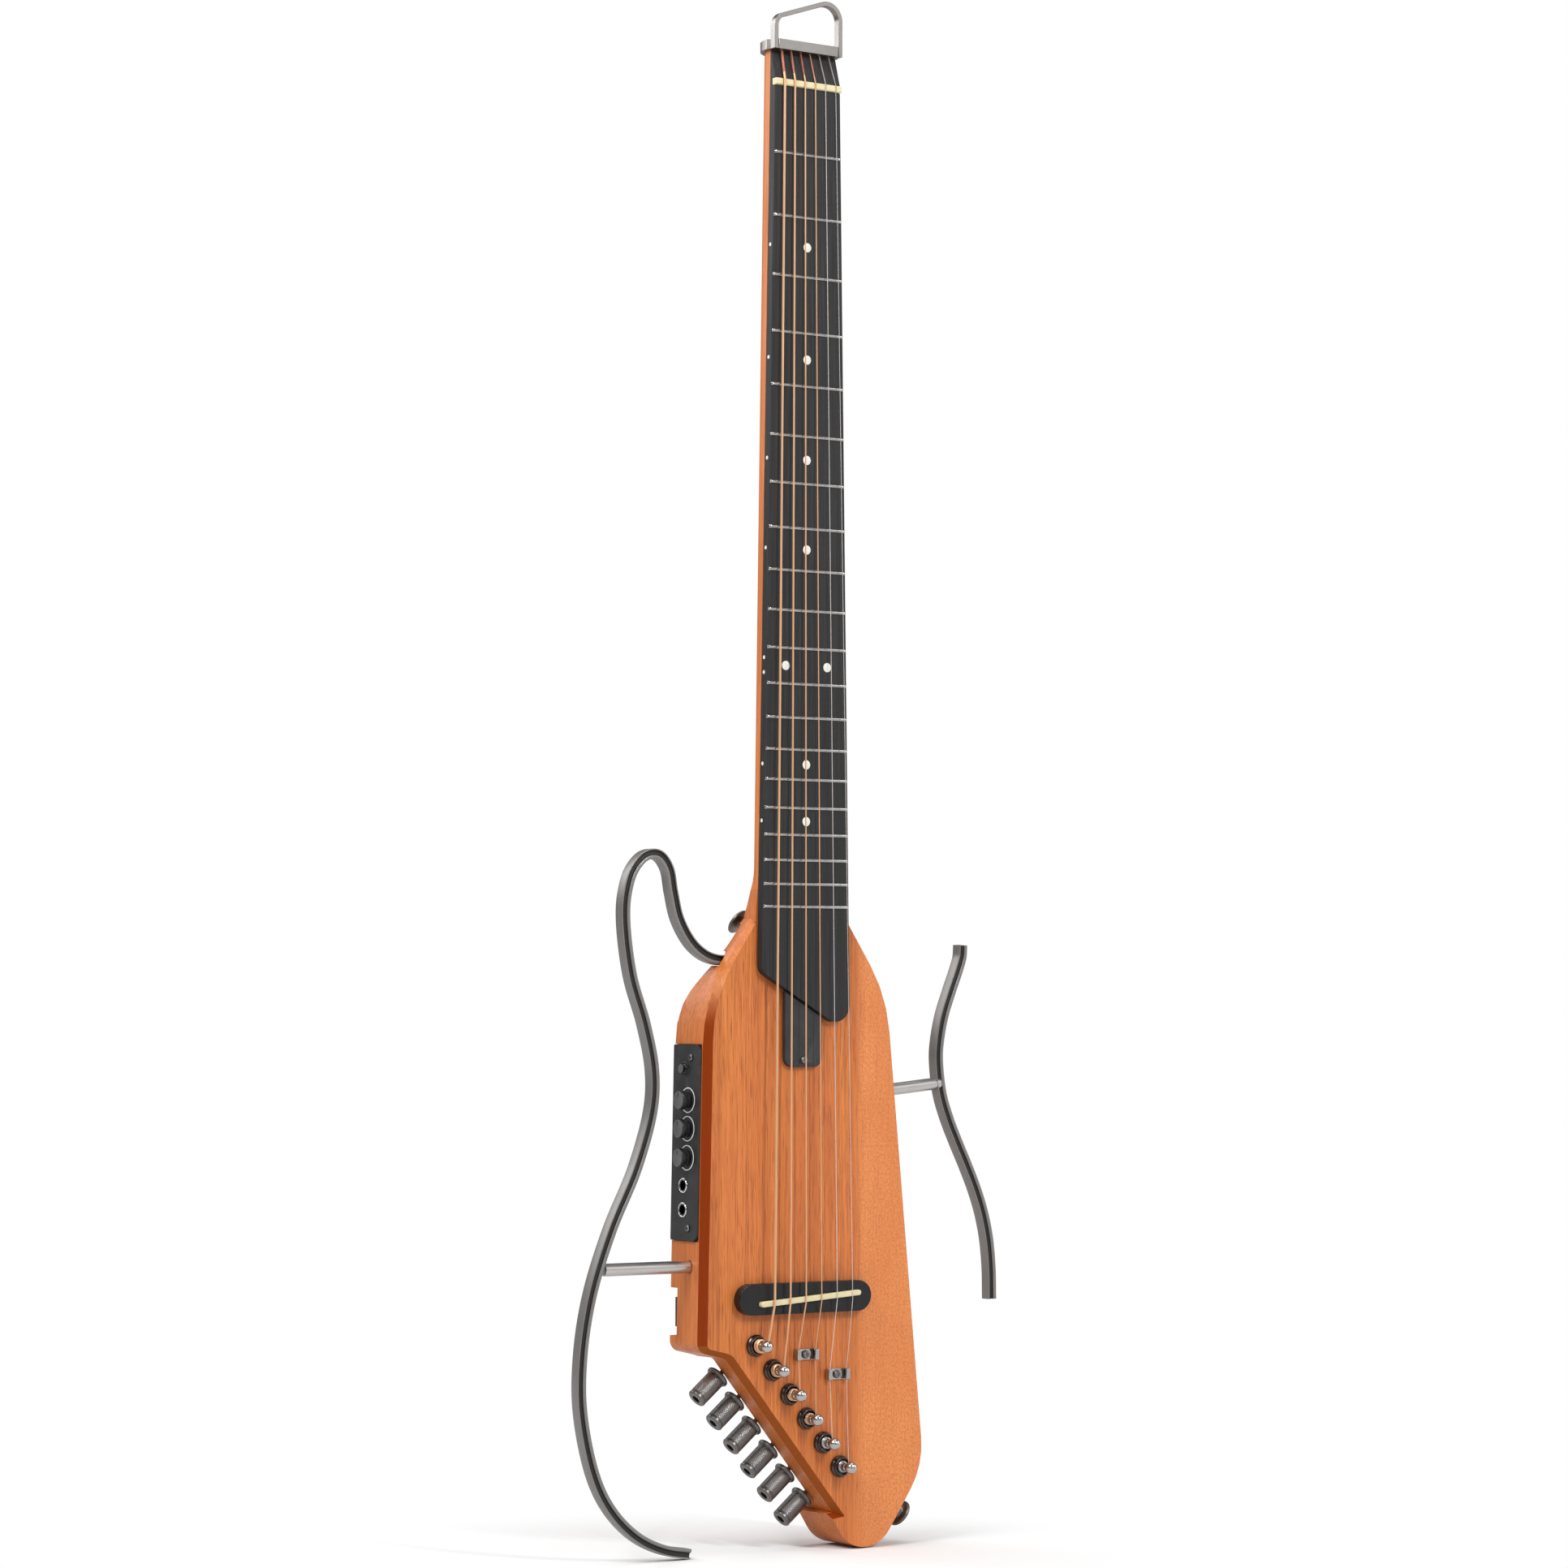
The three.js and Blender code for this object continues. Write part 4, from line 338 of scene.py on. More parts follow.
LOOKS = {
    "mahogany": mahogany("mahogany", srgb(216, 128, 66), srgb(172, 86, 36)),
    "blackwood": dark_wood("blackwood", srgb(38, 38, 39), srgb(58, 57, 56), 0.42, 0.2),
    "bone": polished("bone", srgb(214, 203, 166), 0.32),
    "bracket_alloy": metal("bracket_alloy", srgb(152, 148, 145), 0.34, 0.06, (4000, 400, 400), 0.006),
    "black_plastic": plastic("black_plastic", srgb(44, 44, 45), 0.4),
    "gunmetal": metal("gunmetal", srgb(124, 121, 119), 0.36, 0.04, metallic=0.4),
    "smoked_chrome": metal("smoked_chrome", srgb(116, 113, 111), 0.36, 0.03),
    "bright_steel": metal("bright_steel", srgb(206, 204, 202), 0.28, 0.06),
    "steel": metal("steel", srgb(214, 206, 202), 0.28, 0.06, metallic=0.55),
    "bronze": wound("bronze", srgb(228, 178, 136), 0.3),
    "circuit": plastic("circuit", srgb(22, 84, 48), 0.35),
    "cell": metal("cell", srgb(120, 124, 130), 0.3),
}
BODY_WOOD = mahogany("body_mahogany", srgb(206, 118, 58), srgb(164, 80, 32), edged=True)
BRIDGE_BLACK = dark_wood("bridge_black", srgb(14, 14, 16), srgb(26, 26, 27), 0.24, 0.4)
NICKEL = metal("nickel", srgb(176, 174, 172), 0.22, 0.05)
PEARL = polished("pearl", srgb(226, 226, 222), 0.25)
PRINT = plastic("print", srgb(240, 240, 240), 0.5, 0.004)
DARK_METAL = metal("dark_metal", srgb(84, 82, 82), 0.28, 0.05)
POST_METAL = metal("post_metal", srgb(186, 182, 180), 0.26, 0.04)
ROD_METAL = metal("rod_metal", srgb(196, 193, 191), 0.3, 0.04)
KNOB_BLACK = plastic("knob_black", srgb(13, 13, 14), 0.3, 0.01, 0.5)
# Painted light: a lighter copy of the black knob plastic for the knobs' and the push button's end faces
KNOB_FACE_PAINTED_LIGHT = plastic("knob_face_painted_light", srgb(92, 92, 92), 0.4, 0.015)
POINTER = plastic("pointer", srgb(12, 12, 12), 0.5, 0.004)
# Painted shade: a dark metal laid where shade falls, in the frames' groove and in the tuner knobs' sockets
GROOVE_SHADE = metal("groove", srgb(40, 37, 36), 0.5, 0.06, metallic=0.3)
SCREW_METAL = metal("screw_metal", srgb(128, 126, 124), 0.34, 0.05)
BEZEL = metal("bezel", srgb(226, 224, 222), 0.25, 0.05)
SILK = {
    "red": plastic("silk_red", srgb(158, 50, 44), 0.7, 0.05),
    "copper": plastic("silk_copper", srgb(196, 112, 88), 0.7, 0.05),
    "grey": plastic("silk_grey", srgb(150, 140, 138), 0.7, 0.05),
}

for node_name, cad in NODES.items():
    cad.data.materials.clear()
    cad.data.materials.append(LOOKS[SLOT_OF[node_name]])
    cad.data.polygons.foreach_set("use_smooth", [True] * len(cad.data.polygons))
    cad.data.set_sharp_from_angle(angle=math.radians(32))

# Forms


def made_piece(name, points, faces, look, body, stands_for=(), slot=None, smooth=32):
    """A mesh piece in the frame's own coordinates that moves with a body."""
    mesh = bpy.data.meshes.new(name)
    mesh.from_pydata([tuple(p) for p in points], [], faces)
    mesh.materials.append(look)
    mesh.polygons.foreach_set("use_smooth", [True] * len(mesh.polygons))
    mesh.update()
    mesh.set_sharp_from_angle(angle=math.radians(smooth))
    piece = bpy.data.objects.new(name, mesh)
    bpy.context.scene.collection.objects.link(piece)
    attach(piece, body)
    for node in stands_for:
        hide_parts(node)
    return piece


SHARP_ANGLE = math.radians(30)


def soften(piece, width, keep):
    """Rounds the edges that are sharper than SHARP_ANGLE, but not those that keep says stay sharp."""
    bevel = piece.modifiers.new("edges", "BEVEL")
    bevel.width = width * MM
    bevel.segments = 3
    bevel.limit_method = "ANGLE"
    bevel.angle_limit = SHARP_ANGLE
    bevel.use_clamp_overlap = True
    bevel.harden_normals = False
    bevel.miter_outer = "MITER_ARC"
    if keep:
        form = bmesh.new()
        form.from_mesh(piece.data)
        weight = form.edges.layers.float.new("bevel_weight_edge")
        for edge in form.edges:
            if edge.is_manifold and edge.calc_face_angle() > SHARP_ANGLE and not keep(edge):
                edge[weight] = 1.0
        form.to_mesh(piece.data)
        form.free()
        bevel.limit_method = "WEIGHT"


def refined(node, width, look=None, behind=None, join=0.02, keep=None, place=None):
    """The CAD node's own form with flat faces merged and its edges rounded. behind trims what is in front."""
    form = bmesh.new()
    form.from_mesh(NODES[node].data)
    bmesh.ops.remove_doubles(form, verts=form.verts, dist=join * MM)
    if behind is not None:
        everything = list(form.verts) + list(form.edges) + list(form.faces)
        bmesh.ops.bisect_plane(
            form, geom=everything, dist=1e-7, plane_co=(0, behind, 0), plane_no=(0, -1, 0), clear_outer=True
        )
        bmesh.ops.holes_fill(form, edges=[e for e in form.edges if e.is_boundary], sides=0)
    bmesh.ops.dissolve_limit(form, angle_limit=math.radians(0.6), verts=form.verts, edges=form.edges)
    form.verts.index_update()
    points = [place(v.co) if place else v.co.copy() for v in form.verts]
    faces = [[v.index for v in f.verts] for f in form.faces]
    form.free()
    look = look or LOOKS[SLOT_OF[node]]
    piece = made_piece("look_" + node, points, faces, look, body_with(node), [node])
    soften(piece, width, keep)


def rounded(profile, radius, steps=4):
    """A profile of (radius, along) points with each inner corner rounded, as far as its neighbours allow."""
    points = [Vector(p) for p in profile]
    result = [points[0]]
    for before, corner, after in zip(points, points[1:], points[2:]):
        first, second = before - corner, after - corner
        reach = min(radius, first.length * 0.45, second.length * 0.45)
        if reach < 1e-5:
            result.append(corner)
            continue
        start = corner + first.normalized() * reach
        end = corner + second.normalized() * reach
        for k in range(steps + 1):
            share = k / steps
            result.append(start.lerp(corner, share).lerp(corner.lerp(end, share), share))
    result.append(points[-1])
    return result


def turning(axis):
    return Vector((0, 0, 1)).rotation_difference(Vector(axis).normalized()).to_matrix()


def lathe(name, profile, origin, axis, look, body, stands_for=(), sides=64, shape=None, **more):
    """A turned form. The profile is (radius, along) in millimetres; shape changes a radius by its angle."""
    turn = turning(axis)
    points, faces, previous = [], [], None
    for radius, along in profile:
        count = 1 if radius < 1e-6 else sides
        ring = list(range(len(points), len(points) + count))
        for k in ring:
            angle = 2 * math.pi * (k - ring[0]) / sides
            reach = shape(radius, along, angle) if shape and count > 1 else radius
            local = Vector((reach * math.cos(angle), reach * math.sin(angle), along))
            points.append(Vector(origin) + turn @ local * MM)
        if previous and len(previous) > 1 and len(ring) > 1:
            faces += [
                (previous[k], previous[(k + 1) % sides], ring[(k + 1) % sides], ring[k])
                for k in range(sides)
            ]
        elif previous and len(ring) > 1:
            faces += [(previous[0], ring[(k + 1) % sides], ring[k]) for k in range(sides)]
        elif previous and len(previous) > 1:
            faces += [(previous[k], previous[(k + 1) % sides], ring[0]) for k in range(sides)]
        previous = ring
    if sum(a[0] * (b[1] - a[1]) for a, b in zip(profile, profile[1:])) < 0:
        faces = [tuple(reversed(f)) for f in faces]
    return made_piece(name, points, faces, look, body, stands_for, **more)


def other_faces(piece, look, wanted):
    """Another look on the faces whose middle in the frame is wanted."""
    piece.data.materials.append(look)
    for face in piece.data.polygons:
        if wanted(face.center):
            face.material_index = 1


def swept(name, rings, look, body, stands_for=(), **more):
    """A skin over closed rings of points, with flat ends."""
    size = len(rings[0])
    points = [p for ring in rings for p in ring]
    faces = []
    for i in range(len(rings) - 1):
        for j in range(size):
            a, b = i * size + j, i * size + (j + 1) % size
            faces.append((a, b, b + size, a + size))
    faces.append(tuple(reversed(range(size))))
    faces.append(tuple(range((len(rings) - 1) * size, len(rings) * size)))
    piece = made_piece(name, points, faces, look, body, stands_for, **more)
    form = bmesh.new()
    form.from_mesh(piece.data)
    bmesh.ops.recalc_face_normals(form, faces=form.faces)
    form.to_mesh(piece.data)
    form.free()
    return piece


# Fretboard, frets and position dots


def fret_z(number):
    return -(SCALE_LENGTH - SCALE_LENGTH / 2 ** (number / 12))


def half_board(z):
    return NUT_LENGTH / 2 + (BOARD_WIDTH_AT_LAST_FRET - NUT_LENGTH) / 2 * z / fret_z(FRET_COUNT)


def fret_rings(number):
    """Half-round rings across the board, lower at both ends."""
    width, height, sink, slope = 1.9, 0.85, 0.2, 0.9
    reach = half_board(fret_z(number)) - 0.25
    rings = []
    for x, share in ((-reach, 0.1), (-reach + slope * 0.6, 0.75), (-reach + slope * 1.6, 1.0)):
        rings.append((x, share))
    rings += [(-x, share) for x, share in reversed(rings)]
    steps = 8
    made = []
    for x, share in rings:
        ring = []
        for k in range(steps + 1):
            angle = math.pi * k / steps
            along = fret_z(number) + width / 2 * math.cos(angle)
            ring.append(at(x, -height * share * math.sin(angle), along))
        ring += [at(x, sink, fret_z(number) - width / 2), at(x, sink, fret_z(number) + width / 2)]
        made.append(ring)
    return made


refined("fretboard", 0.35, behind=NUT.y + 0.02 * MM)
for fret in range(1, FRET_COUNT + 1):
    swept(f"fret_{fret}", fret_rings(fret), NICKEL, "guitar", slot="steel")

DOT_RADIUS, SIDE_DOT_RADIUS, DOT_PROUD, DOT_DEPTH = 2.5, 1.05, 0.03, 0.4
DOUBLE_SPREAD, SIDE_SPREAD = 13.6, 4
dot_profile = [(0, -DOT_PROUD), (DOT_RADIUS - 0.1, -DOT_PROUD), (DOT_RADIUS, 0)]
dot_profile += [(DOT_RADIUS, DOT_DEPTH), (0, DOT_DEPTH)]
side_profile = [(r * SIDE_DOT_RADIUS / DOT_RADIUS, s) for r, s in dot_profile]
for number in (3, 5, 7, 9, 12, 15, 17):
    middle = (fret_z(number - 1) + fret_z(number)) / 2
    spreads = (-DOUBLE_SPREAD, DOUBLE_SPREAD) if number == 12 else (0,)
    for spot, x in enumerate(spreads):
        lathe(
            f"dot_{number}_{spot}", dot_profile, at(x, 0, middle), (0, 1, 0), PEARL, "guitar",
            sides=32, slot="bone",
        )
        side = middle + (SIDE_SPREAD if spot else -SIDE_SPREAD if number == 12 else 0)
        lathe(
            f"side_dot_{number}_{spot}", side_profile, at(-half_board(side), BOARD_THICKNESS / 2, side),
            (1, 0, 0), PEARL, "guitar", sides=20, slot="bone",
        )

# Wooden and cut metal pieces keep the CAD form with softer edges
JOINT_Z = at(0, 0, JOINT_DROP).z
JOINT_NEAR, JOINT_SINK = 0.8, 0.35
COVERED_HALF, COVERED_DROP = 24, 535  # the part of the front that the fretboard hides
HOLE_NEAR = 7


def at_joint(edge):
    """Whether an edge lies in the glued joint between the neck and the body."""
    return all(abs(v.co.z - JOINT_Z) < JOINT_NEAR * MM for v in edge.verts)


def glued(point):
    """The neck's lower end let into the body's top, so that the joint closes."""
    if point.z >= JOINT_Z + JOINT_NEAR * MM:
        return point.copy()
    return Vector((point.x, point.y, point.z - JOINT_SINK * MM))


HOLES = [JOINTS[f"tuner_post_{i}_turn"]["pos_m"] for i in range(1, 7)]
HOLES += [
    (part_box(node)[0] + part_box(node)[1]) / 2
    for node in ("cover_screw", "string_tree_screw_1", "string_tree_screw_2")
]


def at_hole(edge):
    """Whether an edge belongs to a small hole in the front, or lies under the fretboard."""
    middle = (edge.verts[0].co + edge.verts[1].co) / 2
    if abs(middle.x - NUT.x) < COVERED_HALF * MM and middle.z > NUT.z - COVERED_DROP * MM:
        return True
    return any(math.hypot(middle.x - x, middle.z - z) < HOLE_NEAR * MM for x, _, z in HOLES)


refined("body", 0.7, BODY_WOOD, join=0.05, keep=lambda edge: at_joint(edge) or at_hole(edge))
refined("neck", 0.2, keep=at_joint, place=glued)
refined("nut", 0.12)
refined("bridge", 0.8, BRIDGE_BLACK)
refined("saddle", 0.5)
refined("head_bracket", 0.3)
refined("truss_rod_cover", 0.4)
refined("control_panel", 0.3)
refined("battery_door", 0.3)
refined("tuner_plate", 0.15)
refined("string_tree_1", 0.15, NICKEL)
refined("string_tree_2", 0.15, NICKEL)

# Bent frames

LEFT_FRAME_SHARES = (
    (0, 0.153), (0.132, 0.153), (0.226, 0.146), (0.326, 0.127), (0.419, 0.09), (0.463, 0.049),
    (0.491, 0.016), (0.541, 0.001), (0.603, 0.002), (0.673, 0.02), (0.714, 0.05), (0.725, 0.085),
    (0.68, 0.167), (0.587, 0.238), (0.529, 0.305), (0.535, 0.361), (0.638, 0.448), (0.81, 0.54),
    (0.938, 0.632), (0.995, 0.717), (0.994, 0.793), (0.905, 0.887), (0.796, 0.935), (0.637, 0.972),
    (0.466, 0.992), (0.302, 1),
)
RIGHT_FRAME_SHARES = (
    (0.454, 0), (0.441, 0.034), (0.381, 0.069), (0.23, 0.138), (0.095, 0.206), (0.016, 0.275),
    (0, 0.32), (0.062, 0.412), (0.189, 0.481), (0.362, 0.55), (0.549, 0.619), (0.722, 0.689),
    (0.854, 0.758), (0.941, 0.828), (0.989, 0.91), (1, 1),
)


def smooth_path(corners, steps=10):
    """A centripetal spline through the corners, as (point, direction) pairs."""
    ends = [2 * corners[0] - corners[1], *corners, 2 * corners[-1] - corners[-2]]
    path = []
    for p0, p1, p2, p3 in zip(ends, ends[1:], ends[2:], ends[3:]):
        d0, d1, d2 = (max((b - a).length, 1e-9) ** 0.5 for a, b in ((p0, p1), (p1, p2), (p2, p3)))
        start = ((p1 - p0) / d0 - (p2 - p0) / (d0 + d1) + (p2 - p1) / d1) * d1
        end = ((p2 - p1) / d1 - (p3 - p1) / (d1 + d2) + (p3 - p2) / d2) * d1
        last = len(path) == (len(corners) - 2) * steps
        for k in range(steps + (1 if last else 0)):
            t = k / steps
            cubic, square = 2 * (p1 - p2) + start + end, -3 * (p1 - p2) - 2 * start - end
            place = p1 + start * t + square * t**2 + cubic * t**3
            path.append((place, start + 2 * square * t + 3 * cubic * t**2))
    return [(point, direction.normalized()) for point, direction in path]


def frame_section():
    """The bar's outline as (across, back): a plain bar with a groove along its front."""
    width, depth, inner_rim, outer_rim, groove, lean = 5.4, 6.8, 1.9, 0.7, 1.4, 0.3
    start, end = inner_rim, width - outer_rim
    outline = [(0, 0), (start, 0), (start + lean, groove), (end - lean, groove), (end, 0), (width, 0)]
    outline += [(width, depth), (0, depth)]
    closed = rounded([outline[-1], *outline, outline[0]], 0.6, 3)
    return closed[1:-1]


FRAME_FRONT = 15.4
GROOVE_FROM, GROOVE_TO = 7, 15  # the section's sides that are the groove's walls and floor


def frame_bar(name, node, shares, corner_x, reach, top, height):
    """A bent bar whose corners are shares of its reach across and of its height."""
    corners = [Vector((corner_x + across * reach, top - down * height)) for across, down in shares]
    section = frame_section()
    rings = []
    for point, direction in smooth_path(corners):
        across = Vector((direction.y, -direction.x))
        rings.append([
            at(point.x + across.x * n, FRAME_FRONT + back, point.y + across.y * n)
            for n, back in section
        ])
    piece = swept(name, rings, LOOKS["gunmetal"], body_with(node), [node], smooth=50)
    # The groove's walls and floor get the painted shade
    piece.data.materials.append(GROOVE_SHADE)
    sides = len(section)
    for face in piece.data.polygons:
        if face.index < sides * (len(rings) - 1) and GROOVE_FROM <= face.index % sides <= GROOVE_TO:
            face.material_index = 1


frame_bar(
    "look_left_frame", "left_frame", LEFT_FRAME_SHARES,
    corner_x=-33.75, reach=-94.5, top=-420.7, height=366,
)
frame_bar(
    "look_right_frame", "right_frame", RIGHT_FRAME_SHARES,
    corner_x=103.6, reach=37, top=-465.0, height=196.7,
)

# Tuners

FLANGE_START, FLANGE_END, BARREL_END = 18.5, 20.9, 37.3
BARREL_RADIUS, KNURL_START, KNURL_END, KNURL_COUNT, KNURL_DEPTH = 5.3, 21.9, 34.6, 28, 0.08
KNURL_CLIMB, KNURL_RIDGE = 0.84, 0.35
SOCKET_RADIUS, SOCKET_DEPTH = 2.3, 3


def knurled(radius, along, angle):
    """Crossing helical cuts in the barrel, none elsewhere."""
    if not (KNURL_START <= along <= KNURL_END and abs(radius - BARREL_RADIUS) < 0.02):
        return radius
    turns = KNURL_COUNT * angle / (2 * math.pi)
    climb = (along - KNURL_START) * KNURL_CLIMB
    waves = [abs(((turns + way * climb) % 1) - 0.5) * 2 for way in (1, -1)]
    return radius - KNURL_DEPTH * 2 * (max(*waves, KNURL_RIDGE) - KNURL_RIDGE)


def knob_profile():
    """Worm and shaft in the body, a flange, the knurled barrel and the socket in its end."""
    head = [(0, -5.9), (1.3, -5.9), (1.3, -3.9), (1.75, -3.9), (1.75, 3.9), (1.3, 3.9), (1.3, FLANGE_START)]
    flange = [(5.9, FLANGE_START), (6.5, FLANGE_START + 0.5), (6.5, FLANGE_END - 0.9)]
    flange += [(6.1, FLANGE_END - 0.7), (6.1, FLANGE_END - 0.4), (5.7, FLANGE_END)]
    flange += [(4.8, FLANGE_END), (4.8, KNURL_START - 0.4)]
    steps = 80
    grip = [(BARREL_RADIUS, KNURL_START + (KNURL_END - KNURL_START) * k / steps) for k in range(steps + 1)]
    tail = [(4.8, KNURL_END + 0.3), (4.8, KNURL_END + 0.7), (BARREL_RADIUS, KNURL_END + 1.0)]
    tail += [(BARREL_RADIUS, BARREL_END - 0.5), (BARREL_RADIUS - 0.5, BARREL_END), (3.9, BARREL_END)]
    tail += [(SOCKET_RADIUS + 0.1, BARREL_END), (SOCKET_RADIUS, BARREL_END - 0.3)]
    tail += [(SOCKET_RADIUS, BARREL_END - SOCKET_DEPTH), (0, BARREL_END - SOCKET_DEPTH)]
    return rounded(head + flange, 0.18, 3) + grip + rounded(tail, 0.18, 3)


def in_socket(point, start, along):
    """Whether a point lies on the socket in the end of the knob that starts there."""
    depth = (point - start).dot(along)
    from_axis = (point - start - along * depth).length
    return (BARREL_END - SOCKET_DEPTH - 0.5) * MM < depth and from_axis < (SOCKET_RADIUS + 0.05) * MM


def post_profile():
    """Ball tip, a thin neck, the part that takes the winding, then the shaft and its wheel."""
    ball, centre = 3.3, -6.5
    tip = [
        (ball * math.cos(a), centre + ball * math.sin(a))
        for a in (math.radians(d) for d in range(-90, 50, 7))
    ]
    body = [(1.9, -3.2), (1.9, -2.6), (2.2, -2.1), (2.2, 23.4), (4.7, 23.4), (4.7, 26.6)]
    body += [(2.2, 26.6), (2.2, 27.6), (0, 27.6)]
    return [(0 if r < 1e-6 else r, s) for r, s in tip] + rounded(body, 0.15, 2)


def ferrule_profile():
    """A sleeve in the front with a collar that dips round the post."""
    ring = [(2.45, 11.0), (4.5, 11.0), (4.5, 4.75), (5.9, 4.75), (5.9, 3.2), (5.3, 2.4)]
    ring += [(5.0, 0.9), (4.3, 0.9), (4.1, 2.2), (3.4, 2.6), (2.45, 2.6), (2.45, 11.0)]
    return rounded(ring, 0.3, 4)


for i in range(1, 7):
    knob, post = JOINTS[f"tuner_knob_{i}_turn"], JOINTS[f"tuner_post_{i}_turn"]
    turned = lathe(
        f"look_tuner_knob_{i}", knob_profile(), knob["pos_m"], knob["axis"], LOOKS["smoked_chrome"],
        f"tuner_knob_{i}", [f"tuner_knob_{i}"], sides=196, shape=knurled, smooth=50,
    )
    start, along = Vector(knob["pos_m"]), Vector(knob["axis"])
    # Painted shade in the socket in the knob's end
    other_faces(turned, GROOVE_SHADE, lambda point: in_socket(point, start, along))
    lathe(
        f"look_tuner_post_{i}", post_profile(), Vector(post["pos_m"]), (0, 1, 0), POST_METAL,
        f"tuner_post_{i}", [f"tuner_post_{i}"], sides=48,
    )
    lathe(
        f"look_tuner_ferrule_{i}", ferrule_profile(), Vector(post["pos_m"]), (0, 1, 0), DARK_METAL,
        "guitar", [f"tuner_ferrule_{i}"], sides=64,
    )

# Screws with a four-lobed driver recess


def screw(node, head_radius, head_height, shank_radius, axis, face):
    """face is the head's outer face in the frame; axis points into the wood."""
    length = 8
    low, mid = -head_height, -head_height * 0.55
    profile = [(0, length), (shank_radius, length), (shank_radius, 0.02), (head_radius, 0.02)]
    profile += [(head_radius, -head_height * 0.35), (head_radius * 0.82, low), (head_radius * 0.5, low)]
    profile += [(head_radius * 0.46, mid), (0, mid)]

    def lobes(radius, along, angle):
        inside = along <= mid + 1e-6 and radius < head_radius * 0.55
        return radius * (0.72 + 0.42 * math.cos(4 * angle) ** 3) if inside else radius

    lathe(
        "look_" + node, rounded(profile, 0.12, 2), face + Vector(axis) * head_height * MM, axis,
        SCREW_METAL, body_with(node), [node], sides=48, shape=lobes,
    )


PANEL_AXIS = Vector(JOINTS["control_knob_1_turn"]["axis"])
panel_points = [Vector(JOINTS[f"control_knob_{i}_turn"]["pos_m"]) for i in (1, 2, 3)]
panel_up = (panel_points[0] - panel_points[2]).normalized()
PANEL_FACE = -1.2
FIRST_KNOB_DROP, PANEL_MIDDLE_DROP, SCREW_SPREAD, SCREW_BACK, SCREW_PROUD = 97.1, 119.7, 45.4, 18.5, 1.15


def on_panel(y, drop, inwards=PANEL_FACE):
    """A place on the control panel, by its distance behind the front and below the body's top."""
    first = panel_points[0] - panel_up * (drop - FIRST_KNOB_DROP) * MM
    first.y = NUT.y + y * MM
    return first + PANEL_AXIS * inwards * MM


for node_name, way in (("panel_screw_upper", -1), ("panel_screw_lower", 1)):
    face = on_panel(SCREW_BACK, PANEL_MIDDLE_DROP + way * SCREW_SPREAD, PANEL_FACE - SCREW_PROUD)
    screw(node_name, 1.9, 0.9, 1.0, PANEL_AXIS, face)
low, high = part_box("cover_screw")
screw("cover_screw", 2.0, 1.0, 1.0, (0, 1, 0), Vector(((low.x + high.x) / 2, low.y, (low.z + high.z) / 2)))
for tree in (1, 2):
    low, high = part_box(f"string_tree_screw_{tree}")
    face = Vector(((low.x + high.x) / 2, low.y, (low.z + high.z) / 2))
    screw(f"string_tree_screw_{tree}", 2.3, 1.2, 1.1, (0, 1, 0), face)

# Control knobs with a pointer, printed rings, sockets and the push button

KNOB_RADIUS, KNOB_SKIRT, KNOB_LENGTH, KNOB_FACE_NEAR = 5.1, 4.5, 6.3, 0.12
POINTER_START, POINTER_END, POINTER_HALF = 1.6, KNOB_RADIUS - 0.7, 0.28
POINTER_PROUD, POINTER_DEPTH = 0.04, 0.3


def ribbed(radius, along, angle):
    """Shallow finger grooves round the knob's cap."""
    if radius < KNOB_RADIUS - 0.3 or along > -3.6:
        return radius
    return radius - 0.14 * max(0.0, math.cos(24 * angle)) ** 2


for i in (1, 2, 3):
    centre = Vector(JOINTS[f"control_knob_{i}_turn"]["pos_m"])
    face, end = PANEL_FACE, PANEL_FACE - KNOB_LENGTH
    profile = [(0, 6.7), (1.5, 6.7), (1.5, face - 0.5), (KNOB_SKIRT, face - 0.5), (KNOB_SKIRT, face - 2.6)]
    profile += [(KNOB_RADIUS, face - 3.1), (KNOB_RADIUS, end + 0.6), (KNOB_RADIUS - 0.6, end), (0, end)]
    turned = lathe(
        f"look_control_knob_{i}", rounded(profile, 0.35, 4), centre, PANEL_AXIS, KNOB_BLACK,
        f"control_knob_{i}", [f"control_knob_{i}"], sides=96, shape=ribbed,
    )
    near = (end + KNOB_FACE_NEAR) * MM
    # The knob's end face gets the painted light
    other_faces(turned, KNOB_FACE_PAINTED_LIGHT, lambda point: (point - centre).dot(PANEL_AXIS) < near)
    pointer = []
    for along in (end - POINTER_PROUD, end + POINTER_DEPTH):
        pointer.append([
            centre + PANEL_AXIS * along * MM + panel_up * up * MM + Vector((0, side * POINTER_HALF * MM, 0))
            for up, side in ((POINTER_START, -1), (POINTER_END, -1), (POINTER_END, 1), (POINTER_START, 1))
        ])
    swept(f"knob_pointer_{i}", pointer, POINTER, f"control_knob_{i}", slot="black_plastic")
    ring = [(6.25, face + 0.2), (6.25, face - 0.05), (6.8, face - 0.05)]
    ring += [(6.8, face + 0.2), (6.25, face + 0.2)]
    lathe(f"panel_ring_{i}", ring, centre, PANEL_AXIS, PRINT, "guitar", sides=96, slot="bone")

